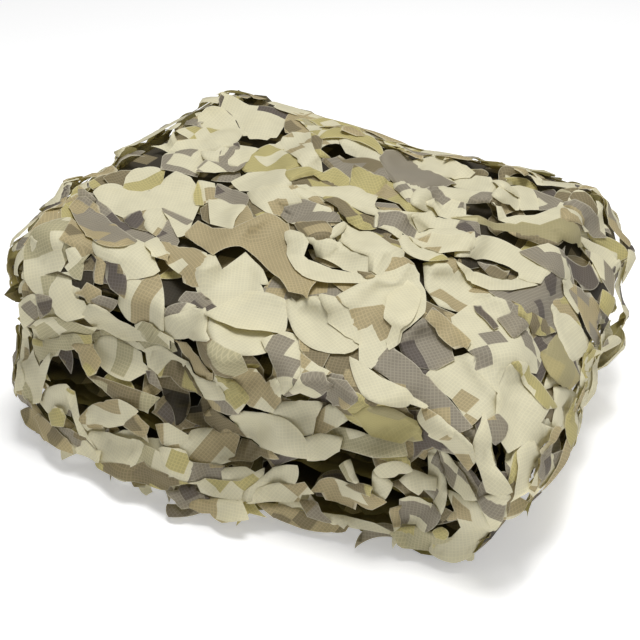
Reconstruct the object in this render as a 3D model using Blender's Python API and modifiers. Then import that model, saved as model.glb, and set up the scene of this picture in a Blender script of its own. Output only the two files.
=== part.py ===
"""Leaf-cut camouflage netting, folded back and forth into a bundle.

One sheet of cloth runs through eight layers. It is folded to and fro across the bundle and doubled over, so
the outermost layer comes down over the whole right end. Arc-shaped cuts through its outer side leave leaves
that curl up and open the net, and every free edge of the sheet ends in lobes.

Frame: metres, +Z up, X along the folded layers, Y from the front edge to the back edge, origin under the
middle of the bundle, on the surface that it lies on.
"""
import math
import random
from collections import namedtuple

import bpy
from mathutils import Vector, geometry, noise

# ---------------------------------------------------------------- driving sizes, metres
CLOTH = 0.0025               # thickness of the cut cloth with its crumple
CLOTH_DEPTH = 0.270          # front edge to back edge of the folded cloth, without its lobes
CELL_ROWS = 5                # leaf cells from the front edge to the back edge
RUN_COLUMNS = 6              # leaf cells along one layer
CELL = CLOTH_DEPTH / CELL_ROWS

# The layers from the top of the bundle to the bottom: height of the cloth, and where its straight run starts
# and ends. The wider space between the fourth and fifth is where the stack was doubled over.
Layer = namedtuple("Layer", "height left right")
LAYERS = {
    1: Layer(0.1770, -0.178, 0.118),
    2: Layer(0.1540, -0.166, 0.122),
    3: Layer(0.1310, -0.168, 0.128),
    4: Layer(0.1080, -0.170, 0.132),
    5: Layer(0.0720, -0.176, 0.132),
    6: Layer(0.0490, -0.178, 0.128),
    7: Layer(0.0250, -0.178, 0.122),
    8: Layer(CLOTH / 2, -0.174, 0.118),
}
# The order in which the cloth runs through the layers, to the right and to the left by turns.
ORDER = (1, 8, 7, 2, 3, 6, 5, 4)
# The fold after each of those layers but the last: how far it reaches past the runs, and its columns of cells.
Fold = namedtuple("Fold", "reach columns")
FOLDS = (Fold(0.070, 5), Fold(0.022, 2), Fold(0.052, 3), Fold(0.020, 2), Fold(0.034, 3), Fold(0.020, 2),
         Fold(0.016, 2))
WIDE_SPACE = (LAYERS[5].height - 0.004, LAYERS[4].height + 0.004)
LEAVES_UPWARD_LAYER = 6      # the leaves on the fold after this layer point the other way along the cloth
FOLD_SQUARENESS = 0.80       # 1 is a half ellipse, less is boxier
LAST_LEAFED_COLUMN = 8       # on the outer layer: below this the big fold turns under the bundle

# The outer layer's front edge comes down over the front of the bundle near its right end: the columns of cells
# in each row past the edge.
APRON = {-1: range(3, 10), -2: range(4, 6)}
APRON_ROLL = 0.026           # radius of the rounded front edge
# Behind it the inner layers' front lobes are short: from this far along X, above this height.
Cover = namedtuple("Cover", "start height")
COVERS = (Cover(-0.10, 0.120), Cover(-0.055, 0.075), Cover(0.000, 0.030))

# How the outer layer's leaves lie, in degrees: heading from the columns' direction and its spread, least and
# greatest lift, and the greatest share of the lift that a leaf droops again.
LeafRegion = namedtuple("LeafRegion", "heading spread low high droop")
LEAF_REGIONS = {
    "top left": LeafRegion(-150, 35, 18, 36, 0.9),
    "top": LeafRegion(-40, 35, 26, 56, 0.9),
    "big fold": LeafRegion(-20, 30, 18, 28, 0.7),
    "front": LeafRegion(-90, 30, 18, 28, 0.7),
    "front fold": LeafRegion(-20, 25, 24, 30, 0.4),
}

# Leaves and lobes, in shares of a cell
LEAF_POINTS = 9              # points on a cut's arc, its two ends included
LEAF_HALF_ANGLE = math.radians(126)
LEAF_RADII = (0.37, 0.42)
LEAF_STRETCH = 1.3           # a leaf's length over its cut's length
FOLD_LEAF_STRETCH = 0.85     # the same on the narrow folds at the left
FOLD_LEAF_LIFT = math.radians(8)
FOLD_LEAF_BEND = math.radians(-75)
FOLD_LEAF_SPREAD = 12        # degrees that their headings vary by
LEAF_NARROWING = 0.90        # a leaf's width over its cut's width
LOBE_POINTS = 7              # points on an edge lobe's outline, its two roots included
LOBE_LENGTHS = (0.42, 0.88)
COVERED_LOBE = 0.16
FOLD_LOBE = 0.45             # of a straight edge's lobe
LOBE_LIFT = math.radians(6)
LOBE_TWIST = math.radians(8)
SPACE_LOBE_TURN = 22         # degrees that the lobes beside the wide space may turn into it
EDGE_JITTER = 0.16           # how far a free edge's corners lie off the even lattice
CELL_JITTER = 0.07           # the same for the other corners

# How the lobes on each kind of edge hang: angle at the root, and the angle turned through to the tip
LobeHang = namedtuple("LobeHang", "lift turn")
FLOOR_LOBE = LobeHang(math.radians(3), math.radians(6))
END_LOBE = LobeHang(math.radians(-22), math.radians(-34))
FOLD_LOBE_HANG = LobeHang(math.radians(10), 0.0)
APRON_LOBE = LobeHang(math.radians(6), 0.0)
TOP_LOBE = LobeHang(math.radians(-34), math.radians(-25))

# The bundle's uneven outer form
TOP_FALL = 0.022             # how much lower the top lies at the right end
FALL_START = -0.180          # the fall's place along X
FALL_RUN = 0.360
FRONT_SINK = 0.016           # how far the top's front edge sinks
RIGHT_SINK = 0.010           # how far its right edge sinks
BACK_PEAK = 0.010            # how far the top rises at its back left corner
BACK_TAPER = 0.034           # how far that corner of the top lies in from the left end
LOW_TAPER = 0.012            # how far the lowest part of the right end is drawn in
FrontPlace = namedtuple("FrontPlace", "x forward")
FRONT_LINE = (FrontPlace(-0.19, -0.020), FrontPlace(-0.12, -0.008), FrontPlace(-0.05, 0.012),
              FrontPlace(0.06, 0.000), FrontPlace(0.17, 0.014))
# Where those start, counted outward from the middle, and how long they take to reach their full amount
Reach = namedtuple("Reach", "start length")
FRONT_REACH = Reach(0.04, 0.10)
BACK_REACH = Reach(-0.04, 0.16)
LEFT_REACH = Reach(-0.02, 0.20)
RIGHT_REACH = Reach(0.06, 0.13)
LAYER_WAVE = 0.003           # each layer's own unevenness
WAVE_RATE = Vector((14.0, 14.0, 60.0))

FOOT_PRESS = 0.0004          # what lies lower than this is pressed flat on the surface
BUNDLE_SHIFT = Vector((0.0026, 0.0060, 0.0))    # puts the middle of the whole form over the origin

SEED = 2
CLOTH_COLOUR = (0.62, 0.58, 0.42, 1.0)


# ---------------------------------------------------------------- the path of the cloth, seen from the front
def signed_power(value, power):
    return math.copysign(abs(value) ** power, value)


def run_path(layer, rightward):
    """A layer's straight run: from a share of its length to a point in X and Z."""
    row = LAYERS[layer]
    start, end = (row.left, row.right) if rightward else (row.right, row.left)
    return lambda share: (start + (end - start) * share, row.height)


def fold_path(upper, lower, rightward, reach):
    """A fold from one layer's end round to the next layer's start."""
    side = 1 if rightward else -1
    first = upper.right if rightward else upper.left
    last = lower.right if rightward else lower.left
    middle = (upper.height + lower.height) / 2
    half = (upper.height - lower.height) / 2

    def point(share):
        angle = math.pi * share
        bulge = side * reach * signed_power(math.sin(angle), FOLD_SQUARENESS)
        return (first + (last - first) * share + bulge,
                middle + half * signed_power(math.cos(angle), FOLD_SQUARENESS))

    return point


def path_sections():
    """The path's sections in order: name of its layer, first column, columns and path."""
    sections = []
    column = 0
    for index, layer in enumerate(ORDER):
        rightward = index % 2 == 0
        sections.append((layer, column, RUN_COLUMNS, run_path(layer, rightward)))
        column += RUN_COLUMNS
        if index < len(FOLDS):
            fold = FOLDS[index]
            bend = fold_path(LAYERS[layer], LAYERS[ORDER[index + 1]], rightward, fold.reach)
            sections.append((layer, column, fold.columns, bend))
            column += fold.columns
    return sections, column


SECTIONS, COLUMNS = path_sections()


def path_point(column):
    """A point of the path. Past either end the path goes straight on."""
    inside = min(max(column, 0.0), float(COLUMNS))
    if column != inside:
        back = 0.1 if inside == 0.0 else -0.1
        end = path_point(inside)
        return end + (end - path_point(inside + back)) * abs(column - inside) / abs(back)
    for layer, first, columns, path in reversed(SECTIONS):
        if column >= first:
            x, z = path((column - first) / columns)
            return Vector((x, 0.0, z))
    raise ValueError(column)


def in_fold(column):
    """Whether a place along the path lies in one of its folds and not in a layer's straight run."""
    folds = SECTIONS[1::2]
    return any(first < column < first + columns for layer, first, columns, path in folds)


def path_normal(column):
    """Left-hand normal of the path: up on the top layer, outward on the big fold at the right."""
    step = 0.05
    along = path_point(column + step) - path_point(column - step)
    return Vector((-along.z, 0.0, along.x)).normalized()


# ---------------------------------------------------------------- from the flat cloth to the bundle
def front_shift(x):
    """How far the lowest layers lie forward of the straight front line at a place along X."""
    if x <= FRONT_LINE[0].x:
        return FRONT_LINE[0].forward
    for before, after in zip(FRONT_LINE, FRONT_LINE[1:]):
        if x <= after.x:
            share = (x - before.x) / (after.x - before.x)
            return before.forward + (after.forward - before.forward) * share * share * (3 - 2 * share)
    return FRONT_LINE[-1].forward


def reached(distance, reach):
    """0 before the reach's start, 1 past its end."""
    return min(1.0, max(0.0, distance - reach.start) / reach.length)


def swell(x, y):
    """The top's long uneven swells."""
    broad = 0.005 * math.sin(17 * x + 1.0) * math.cos(13 * y + 0.4)
    narrow = 0.003 * math.sin(31 * y - 9 * x)
    return broad + narrow


def bundle_form(point):
    """The smooth unevenness of the whole bundle. It leaves the lowest layer flat and keeps the layers apart."""
    x, y, z = point
    floor = CLOTH / 2
    share = max(0.0, z - floor) / LAYERS[1].height
    front = reached(-y, FRONT_REACH)
    back = reached(y, BACK_REACH)
    left = reached(-x, LEFT_REACH)
    right = reached(x, RIGHT_REACH)
    sink = (FRONT_SINK * front ** 2 + RIGHT_SINK * right ** 2 - BACK_PEAK * back * left) * share
    fall = TOP_FALL * (x - FALL_START) / FALL_RUN
    squeeze = 1.0 - (fall + sink - swell(x, y)) / LAYERS[1].height
    taper = BACK_TAPER * back * left * share ** 2 - LOW_TAPER * right * max(0.0, 1.0 - 1.6 * share)
    forward = front_shift(x) * (1.0 - share) * front
    height = floor + max(0.0, z - floor) * squeeze
    return Vector((x + taper, y - forward, height)) + BUNDLE_SHIFT


def cloth_point(column, row):
    """A point of the folded cloth. Rows below zero belong to the part that comes down over the front."""
    base = path_point(column)
    normal = path_normal(column)
    beyond = max(0.0, -row * CELL)
    turn = min(beyond / APRON_ROLL, math.pi / 2)
    depth = APRON_ROLL * (1.0 - math.cos(turn)) + max(0.0, beyond - APRON_ROLL * math.pi / 2)
    y = -CLOTH_DEPTH / 2 + max(row, 0.0) * CELL - APRON_ROLL * math.sin(turn)
    wave = 0.0
    if base.z >= CLOTH:
        wave = LAYER_WAVE * noise.noise(Vector((base.x, y, base.z)) * WAVE_RATE)
    return base - normal * (depth - wave) + Vector((0.0, y, 0.0))


def cloth_frame(column, row):
    """Directions on the cloth: along its columns, across its rows, and out of its face."""
    step = 0.04
    along = (cloth_point(column + step, row) - cloth_point(column - step, row)).normalized()
    across = (cloth_point(column, row + step) - cloth_point(column, row - step)).normalized()
    return along, across, along.cross(across).normalized()


def bent_strip(length, lift, bend):
    """How far forward and how high a strip's point lies that is a length from its root.

    lift is the angle at the root, and bend is the angle turned through over one metre.
    """
    if abs(bend * length) < 1e-4:
        return length * math.cos(lift), length * math.sin(lift)
    end = lift + bend * length
    return (math.sin(end) - math.sin(lift)) / bend, (math.cos(lift) - math.cos(end)) / bend


class NetCloth:
    """The cut cloth's middle surface: lattice corners, cells with or without a leaf, and edge lobes."""

    def __init__(self):
        self.random = random.Random(SEED)
        self.points = []
        self.faces = []
        self.corners = {}

    def add_point(self, position):
        self.points.append(bundle_form(position))
        return len(self.points) - 1

    def corner(self, column, row):
        """A shared corner of the cells, moved a little off the even lattice."""
        key = (column, row)
        if key not in self.corners:
            draw = random.Random(SEED * 7919 + column * 131 + row)
            along = EDGE_JITTER if row in (0, CELL_ROWS) and column > LAST_LEAFED_COLUMN else CELL_JITTER
            across = (0.0 if row == 0 else -CELL_JITTER, CELL_JITTER)
            place = (column + draw.uniform(-along, along), row + draw.uniform(*across))
            self.corners[key] = (self.add_point(cloth_point(*place)), place)
        return self.corners[key]


def outer_loop(cloth, first, last, row):
    """A cell's corners in order round it, as (point index, place on the flat cloth)."""
    lower = [cloth.corner(column, row) for column in range(first, last + 1)]
    upper = [cloth.corner(column, row + 1) for column in range(last, first - 1, -1)]
    return lower + upper


def plain_cell(cloth, column, row):
    cloth.faces.append([index for index, place in outer_loop(cloth, column, column + 1, row)])


def leaf_outline(kind, radius):
    """A cut's arc as (forward, sideways) from the middle of its cell, from one end to the other."""
    outline = []
    for index in range(LEAF_POINTS):
        turn = -LEAF_HALF_ANGLE + 2 * LEAF_HALF_ANGLE * index / (LEAF_POINTS - 1)
        forward = radius * math.cos(turn)
        sideways = radius * math.sin(turn)
        if kind == "pointed":
            sideways *= 0.55 + 0.45 * abs(turn) / LEAF_HALF_ANGLE
        elif kind == "square":
            forward = min(forward, 0.72 * radius) + 0.10 * radius * math.cos(turn)
        outline.append((forward, sideways))
    return outline


def cut_ground(cloth, loop, hole, hole_places):
    """The cell's cloth round the cut: triangles between its corners and the hole."""
    outer = [index for index, place in loop]
    places = [Vector(place) for index, place in loop] + [Vector(place) for place in hole_places]
    indices = outer + hole
    count = len(outer)
    ring = [(k, (k + 1) % count) for k in range(count)]
    cut = [(count + k, count + (k + 1) % len(hole)) for k in range(len(hole))]
    found = geometry.delaunay_2d_cdt(places, ring + cut, [], 1, 1e-6)
    for triangle in found[2]:
        source = [found[3][k][0] for k in triangle]
        if min(source) < count:
            cloth.faces.append([indices[k] for k in source])


def leaf_cell(cloth, first, last, row, heading, side, lift, bend, stretch=LEAF_STRETCH):
    """A cell with one arc-shaped cut and the leaf that it frees, lifted to the outer side."""
    loop = outer_loop(cloth, first, last, row)
    middle = ((first + last) / 2, row + 0.5)
    width = last - first
    kind = cloth.random.choice(("round", "round", "pointed", "square"))
    outline = leaf_outline(kind, cloth.random.uniform(*LEAF_RADII))
    root_line = outline[0][0]
    ahead = (math.cos(heading), math.sin(heading))
    beside = (-ahead[1], ahead[0])

    def place(forward, sideways):
        return (middle[0] + (ahead[0] * forward + beside[0] * sideways) * width,
                middle[1] + ahead[1] * forward + beside[1] * sideways)

    hole = [cloth.add_point(cloth_point(*place(*pair))) for pair in outline]
    cut_ground(cloth, loop, hole, [place(*pair) for pair in outline])

    along, across, outward = cloth_frame(*place(root_line, 0.0))
    forward_way = (along * ahead[0] + across * ahead[1]).normalized()
    side_way = (along * beside[0] + across * beside[1]).normalized()
    root = (cloth_point(*place(*outline[0])) + cloth_point(*place(*outline[-1]))) / 2
    leaf = [hole[0]]
    for forward, sideways in outline[1:-1]:
        ahead_by, up_by = bent_strip((forward - root_line) * CELL * stretch, lift, bend)
        leaf.append(cloth.add_point(root + forward_way * ahead_by + side_way * sideways * CELL * LEAF_NARROWING
                                    + outward * side * up_by))
    leaf.append(hole[-1])
    add_strips(cloth, leaf)


def add_strips(cloth, outline):
    """Faces across a leaf from its root to its tip."""
    count = len(outline)
    for k in range(count // 2 - 1):
        cloth.faces.append([outline[k], outline[k + 1], outline[count - 2 - k], outline[count - 1 - k]])
    k = count // 2 - 1
    cloth.faces.append([outline[k], outline[k + 1], outline[k + 2]])


def outer_side(direction, place, centre):
    """The direction, or its opposite, whichever points out of the bundle or, on a layer, up."""
    if place[1] < 0:
        outward = -direction.y
    elif in_fold(place[0]):
        outward = direction.x * centre.x
    else:
        outward = direction.z
    return direction if outward > 0 else -direction


def lobe_shape(cloth, place, away, centre):
    """Length, lift at the root, bend and twist of the lobe at a place on the edge."""
    share = centre.z / LAYERS[1].height
    length = CELL * cloth.random.uniform(*LOBE_LENGTHS)
    lift = cloth.random.uniform(-LOBE_LIFT, LOBE_LIFT)
    if WIDE_SPACE[0] < centre.z < WIDE_SPACE[1]:
        into_space = 1 if centre.z < (LAYERS[4].height + LAYERS[5].height) / 2 else -1
        lift += math.radians(cloth.random.uniform(0, SPACE_LOBE_TURN)) * into_space
    twist = cloth.random.uniform(-LOBE_TWIST, LOBE_TWIST)
    inner = away[1] < 0 and place[0] > RUN_COLUMNS + FOLDS[0].columns
    if inner and any(centre.x > cover.start and centre.z > cover.height for cover in COVERS):
        length = CELL * COVERED_LOBE
    if centre.z < 2 * CLOTH:
        return length, FLOOR_LOBE.lift, FLOOR_LOBE.turn / length, 0.0
    if away[0] < 0 and place[0] < 1:
        return length, END_LOBE.lift, END_LOBE.turn / length, twist
    if in_fold(place[0]) and place[1] >= 0:
        return length * FOLD_LOBE, FOLD_LOBE_HANG.lift, FOLD_LOBE_HANG.turn, 0.0
    if place[1] < 0:
        return length, APRON_LOBE.lift + lift, APRON_LOBE.turn, twist
    return length, lift + TOP_LOBE.lift * share, TOP_LOBE.turn * share / length, twist


def edge_lobe(cloth, first, second, away):
    """A half-round lobe on a free edge, between two corners. away is its direction on the flat cloth."""
    (a, place_a), (b, place_b) = cloth.corner(*first), cloth.corner(*second)
    middle = ((place_a[0] + place_b[0]) / 2, (place_a[1] + place_b[1]) / 2)
    forward = cloth_point(middle[0] + away[0] * 0.05, middle[1] + away[1] * 0.05) - cloth_point(*middle)
    forward.normalize()
    root_a, root_b = cloth_point(*place_a), cloth_point(*place_b)
    centre = (root_a + root_b) / 2
    span = root_b - root_a
    up = outer_side(forward.cross(span).normalized(), middle, centre)
    length, lift, bend, twist = lobe_shape(cloth, middle, away, centre)
    outline = [a]
    for index in range(1, LOBE_POINTS - 1):
        turn = -math.pi / 2 + math.pi * index / (LOBE_POINTS - 1)
        ahead_by, up_by = bent_strip(length * math.cos(turn), lift, bend)
        roll = twist * math.cos(turn)
        aside = math.sin(turn) / 2
        outline.append(cloth.add_point(centre + forward * ahead_by + span * aside * math.cos(roll)
                                       + up * (up_by + span.length * aside * math.sin(roll))))
    outline.append(b)
    add_strips(cloth, outline)


def leaf_region(column, row):
    if row < 0:
        return LEAF_REGIONS["front" if column < RUN_COLUMNS else "front fold"]
    if column > RUN_COLUMNS:
        return LEAF_REGIONS["big fold"]
    return LEAF_REGIONS["top left" if column < 2 else "top"]


def build_cloth():
    cloth = NetCloth()
    cells = {(column, row) for column in range(COLUMNS) for row in range(CELL_ROWS)}
    for row, columns in APRON.items():
        cells.update((column, row) for column in columns)
    left_folds = {first: layer for layer, first, columns, path in SECTIONS if columns == 2 and path(0.5)[0] < 0}
    for column, row in sorted(cells):
        if column <= LAST_LEAFED_COLUMN:
            region = leaf_region(column, row)
            heading = region.heading + cloth.random.uniform(-region.spread, region.spread)
            lift = math.radians(cloth.random.uniform(region.low, region.high))
            bend = -lift * cloth.random.uniform(0.2, region.droop) / CELL
            leaf_cell(cloth, column, column + 1, row, math.radians(heading), 1.0, lift, bend)
        elif column in left_folds:
            side = 1.0 if path_normal(column + 1).x < 0 else -1.0
            heading = cloth.random.uniform(-FOLD_LEAF_SPREAD, FOLD_LEAF_SPREAD)
            if left_folds[column] == LEAVES_UPWARD_LAYER:
                heading += 180
            leaf_cell(cloth, column, column + 2, row, math.radians(heading), side, FOLD_LEAF_LIFT,
                      FOLD_LEAF_BEND / CELL, FOLD_LEAF_STRETCH)
        elif column - 1 not in left_folds:
            plain_cell(cloth, column, row)
    for column, row in sorted(cells):
        if (column, row - 1) not in cells and not (row < 0 and column >= RUN_COLUMNS):
            edge_lobe(cloth, (column, row), (column + 1, row), (0, -1))
        if (column, row + 1) not in cells:
            edge_lobe(cloth, (column + 1, row + 1), (column, row + 1), (0, 1))
        if (column - 1, row) not in cells and row >= 0:
            edge_lobe(cloth, (column, row + 1), (column, row), (-1, 0))
        if (column + 1, row) not in cells and row >= 0:
            edge_lobe(cloth, (column + 1, row), (column + 1, row + 1), (1, 0))
    return cloth


def cloth_material():
    material = bpy.data.materials.new("netting_cloth")
    material.use_nodes = True
    shader = material.node_tree.nodes["Principled BSDF"]
    shader.inputs["Base Color"].default_value = CLOTH_COLOUR
    shader.inputs["Roughness"].default_value = 0.85
    shader.inputs["Metallic"].default_value = 0.0
    return material


def give_thickness(netting):
    """Turns the middle surface into cloth of real thickness whose underside lies flat."""
    solidify = netting.modifiers.new("cloth_thickness", "SOLIDIFY")
    solidify.thickness = CLOTH
    solidify.offset = 0.0
    solidify.use_quality_normals = True
    depsgraph = bpy.context.evaluated_depsgraph_get()
    cloth = bpy.data.meshes.new_from_object(netting.evaluated_get(depsgraph))
    for vertex in cloth.vertices:
        if vertex.co.z < FOOT_PRESS:
            vertex.co.z = 0.0
    netting.modifiers.clear()
    netting.data = cloth


def main():
    for old in list(bpy.data.objects):
        bpy.data.objects.remove(old)
    collection = bpy.data.collections.new("camouflage_netting")
    bpy.context.scene.collection.children.link(collection)

    cloth = build_cloth()
    mesh = bpy.data.meshes.new("netting")
    mesh.from_pydata(cloth.points, [], cloth.faces)
    mesh.materials.append(cloth_material())
    netting = bpy.data.objects.new("netting", mesh)
    collection.objects.link(netting)
    give_thickness(netting)


main()
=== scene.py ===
"""Looks of the folded camouflage netting: leaf-cut ripstop cloth in many overlapping plies.

Thin plies of cloth follow the part's own folded path. Leaves of the cut cloth lie over them on every side.
A leaf is an outline seen along one line of sight. It is laid down on what is under it there, and curls.
"""
import math
import random
from collections import namedtuple
from functools import reduce

import bpy
import numpy as np
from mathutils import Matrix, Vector, geometry, noise
from mathutils.bvhtree import BVHTree


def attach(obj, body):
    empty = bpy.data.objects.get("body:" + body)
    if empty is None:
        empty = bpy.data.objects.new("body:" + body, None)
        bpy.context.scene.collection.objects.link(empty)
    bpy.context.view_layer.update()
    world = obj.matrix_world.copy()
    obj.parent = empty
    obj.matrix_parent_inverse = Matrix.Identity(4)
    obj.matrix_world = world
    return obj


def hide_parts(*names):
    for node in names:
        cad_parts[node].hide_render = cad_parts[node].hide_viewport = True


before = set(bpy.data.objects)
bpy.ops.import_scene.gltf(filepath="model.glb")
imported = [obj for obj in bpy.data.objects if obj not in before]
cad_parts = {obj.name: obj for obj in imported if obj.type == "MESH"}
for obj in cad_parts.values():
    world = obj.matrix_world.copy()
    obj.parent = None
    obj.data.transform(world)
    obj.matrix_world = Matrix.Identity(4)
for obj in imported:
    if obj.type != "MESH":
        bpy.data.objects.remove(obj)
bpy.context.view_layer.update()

# ---------------------------------------------------------------- sizes, metres unless said otherwise
MM = 0.001
SEED = 7
TINY, TINIER = 1e-9, 1e-12   # against a division by zero

# Lines of sight
PICTURE = 640                # pixels a side of every view's picture
MAP_CELL = 2                 # pixels a side of a cell of a depth map
MAP_SIZE = PICTURE // MAP_CELL
FAR = 9.0                    # depth that stands for nothing there
CAMERA_AZIMUTH, CAMERA_ELEVATION = 21.25, 29.0
CAMERA_DISTANCE = 1.1051
CAMERA_TARGET = (0.0016, -0.0199, 0.09)
CAMERA_FOCAL = 1473.0        # pixels
SENSOR = 36.0                # mm
PHOTO_SCALE = 1330.0         # pixels a metre in the photograph at the bundle
SIDE_SCALE = 1000.0          # pixels a metre in the views of the other sides
MIDDLE = (0.0, 0.0, 0.09)    # what those views look at
OTHER_SIDES = (("right", 105, 22), ("left", 285, 22), ("back", 195, 22), ("top", 195, 75))
LEAST_SEEN = 0.34            # cosine to the camera below which another view's leaves cover the bundle
LEAST_TURNED = 0.4           # the same to that other view itself, above which its leaves lie there
GRAZED = 0.2                 # cosine to the camera below which a place counts as hidden
HIDDEN_DEPTH = 0.012         # how far behind what the camera sees a place counts as hidden
SAME_PLACE = 0.0001          # two hits closer than this are on the same piece
BLUR_REACH = 2.2             # a blur's reach, in times its radius
MAP_END = 1.001              # cells by which a place between cells stays short of a map's end

# The smooth outer form, in cells of the map
RIM = 3                      # how far past the bundle a leaf may reach in a view
FILL_RADII = (3.0, 8.0, 20.0, 60.0)    # blurs that carry the form on past its outline, by turns
KNOWN = 0.02                 # least weight at which such a blur counts
CLOSING = 9                  # half the width of the hollows that the form bridges
FORM_SOFTNESS = 5.0
SLOPE_STEP = 6.0             # pixels to each side over which the form's slope is taken

# How a leaf is laid
PLY_GAP = 0.0014             # between a leaf and what it lies on, the floor too
MOST_GAP = 2.5               # the most times that gap, on a steep slope
MAP_MARGIN = 3               # cells of the map that are taken in round a leaf
LEAF_STEP = 5.0              # pixels between a leaf's inner points
GRID_START, GRID_END = 2, 1  # pixels from a leaf's bounds at which those points start and end
SAME_PIXEL = 1e-4            # points of an outline closer than this are one
EDGE_STEP = 3.0              # pixels between the points of its outline
CUT_EDGE = 0.9               # pixels that the pale cut edge is wide
INNER_MARGIN = 3.2           # pixels between its outline and its inner points
FLAT_SIDE = 0.02             # a side that swells less than this is straight
LEAST_CELLS = 8              # a leaf that covers fewer cells is left out
LEAST_HALF = 12.0            # pixels, the least half length for its tip and curl
TIP_BEND = 1.5               # how late along the leaf its tip turns up
TIP_REACH = 1.2
CURL_CENTRE = 0.35           # share of the curl by which its middle is raised
WAVE = 0.0008                # height of its soft waves
WAVE_RATES = (0.11, 0.13)    # radians a pixel
SEEDS = 50                   # range of the number that shifts its waves and creases
CREASE, CREASE_SPACING = 0.0014, 30.0      # height of its creases, and the pixels between them
CREASE_SHARPNESS = 3
DRAPE = 80                   # percent of a leaf that is raised clear of what lies under it
NEED_LEAST, NEED_MOST = -0.02, 0.03        # range in which what a point lacks for that is counted
MOST_RAISED = 0.014          # the most that a leaf is raised for that
BUMP_LOW, BUMP_HIGH = -0.012, 0.006        # what stands further off than this from a leaf doesn't shape it
COVER, COVER_SOFTNESS = 3, 2.6             # cells by which bumps under a leaf are widened and softened
LEAF_SOFTNESS, LAST_SOFTNESS = 1.6, 0.8    # cells by which the leaf itself is softened
SHALLOWEST = -0.05           # least fall of a line of sight along which a sunk point climbs out of the floor
LEAF_OFF, LEAF_MORE = 0.006, 0.006         # how far off the bundle a leaf stands freely, and beyond that
PRINT_RANGE = 40             # blocks over which a leaf's place in the print is drawn

# The photograph's leaves
LEAF_OVERLAP = 1.2           # pixels that a leaf goes on under its neighbours
TIP_UP = 2.3 * MM            # a millimetre of the table's tips and curls, as it comes out in the cloth
CURL_DOWN = 1.0 * MM
LEAF_RISE = -0.003           # of these leaves above the bundle's smooth form
RIM_CELLS = 8                # width of the rim along the bundle's outline, where leaves also lie under these

# The seeded leaves
MARGIN = 20                  # pixels of the picture's edge without leaves
JITTER = 0.45                # share of the pitch by which a leaf's place varies
ORDER_JITTER = 0.03          # how far the order from low to high varies
TURN_SPREAD = 0.75           # radians by which its tip turns aside
TIP_STEP = 0.02              # how far ahead the tip's way is read
CURL_SPREAD = 0.0035         # of its curl, down or up
TRIED_SIZES = (1.0, 0.8, 0.62)             # shares of its size that are tried until it fits
NOTCH_HALF = 0.42            # radians, half a disc's notch
SEEDED_STEP = 3.0            # mm between the points of its outline
BEHIND_SHARE = 0.85          # share of it that has to stay behind what the camera shows
DEEP_RISE = -0.003           # of the leaves down in the hollows above what lies there
FLAT_TOP = 0.75              # upward share of the normal above which a place is on top
TOP_PARTING = -0.03          # place along X where the leaves on top part to the left and right
LEFT_WAY, RIGHT_WAY, DOWN_WAY = (-0.8, -0.7, 0.0), (0.9, -0.35, 0.0), (0.25, -0.1, -1.0)

# One round of them: pixels from leaf to leaf, height above the smooth form, least cosine to the view where
# they lie, ranges of their tips' lift and of their sizes, how far they are turned towards the view, and the
# least share of a leaf that stays inside the bundle's outline
Round = namedtuple("Round", "pitch rise least_facing lift sizes turned least",
                   defaults=(0.32, (0.0, 0.006), (0.9, 1.3), 0.0, 0.94))
HOLLOW_ROUND = Round(26, 0.0, least_facing=-1, sizes=(0.6, 1.0))
UNDER_ROUND = Round(30, -0.010)
RIM_ROUND = Round(13, -0.010, least_facing=-1, sizes=(0.6, 0.9), turned=0.9, least=0.88)
OVER_ROUND = Round(27, -0.003)
SIDE_ROUNDS = (Round(26, -0.009), Round(22, -0.005, lift=(0.0, 0.004)))
PATCH_ROUND = Round(14, -0.007, least_facing=0.3, lift=(0.0, 0.003), sizes=(0.6, 1.0), least=0.9)

# ---------------------------------------------------------------- the print
TONES = {
    "cream": (0.715, 0.672, 0.478),
    "tan": (0.405, 0.336, 0.192),
    "grey": (0.266, 0.238, 0.184),
    "dark": (0.112, 0.096, 0.083),
    "olive": (0.460, 0.405, 0.180),
    # This tone is tan darkened as it looks in shadow: painted shade.
    "shaded_tan": (0.205, 0.170, 0.100),
    "sage": (0.440, 0.405, 0.255),
    # This one is the near black of deep shadow: painted shade.
    "shade": (0.040, 0.034, 0.024),
}
TONE_NAMES = list(TONES)
PRINT_BLOCK = 0.0140         # side of one square of the print
PATCH_SCALE, PATCH_DETAIL = 0.55, 1.0      # of the noise that gathers blocks into patches
SPECK = 0.22                 # how far single blocks depart from their patch
LEVEL_MIDDLE, LEVEL_SPREAD = 0.61, 2.6     # these bring a block's number to between about 0 and 1
RIP_THREADS = 6              # ripstop threads across a square
THREAD_WIDTH = 0.25          # share of the threads' spacing
THREAD_SHOWS = 0.85          # how far the threads show on black. It falls by the tone's own red.
THREAD_TINT = (1.62, 1.60, 1.56)
MOTTLE_SCALE, MOTTLE_DETAIL = 1.3, 3.0     # of the dye's unevenness
MOTTLE_LOW, MOTTLE_HIGH = 0.93, 1.07
EDGE_PALENESS, EDGE_TONE = 0.55, (0.80, 0.76, 0.58)
REVERSE_YELLOW = 0.62
ROUGHNESS, SHEEN = 0.72, 0.28
THREAD_BUMP, THREAD_HEIGHT = 0.06, 0.0003
THROUGH_SHARE, THROUGH_YELLOW, THROUGH_TONE = 0.25, 0.55, (0.62, 0.52, 0.12)
MIX_INPUTS, MIX_OUTPUT = (0, 6, 7), 2      # a Mix node's sockets for its factor and colours


def tone_value(name):
    """A tone's place on the material's tone ramp."""
    return (TONE_NAMES.index(name) + 0.5) / len(TONE_NAMES)


def new_node(nodes, kind, **settings):
    node = nodes.new(kind)
    for name, value in settings.items():
        setattr(node, name, value)
    return node


def set_inputs(node, values):
    for name, value in values.items():
        node.inputs[name].default_value = value


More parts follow.
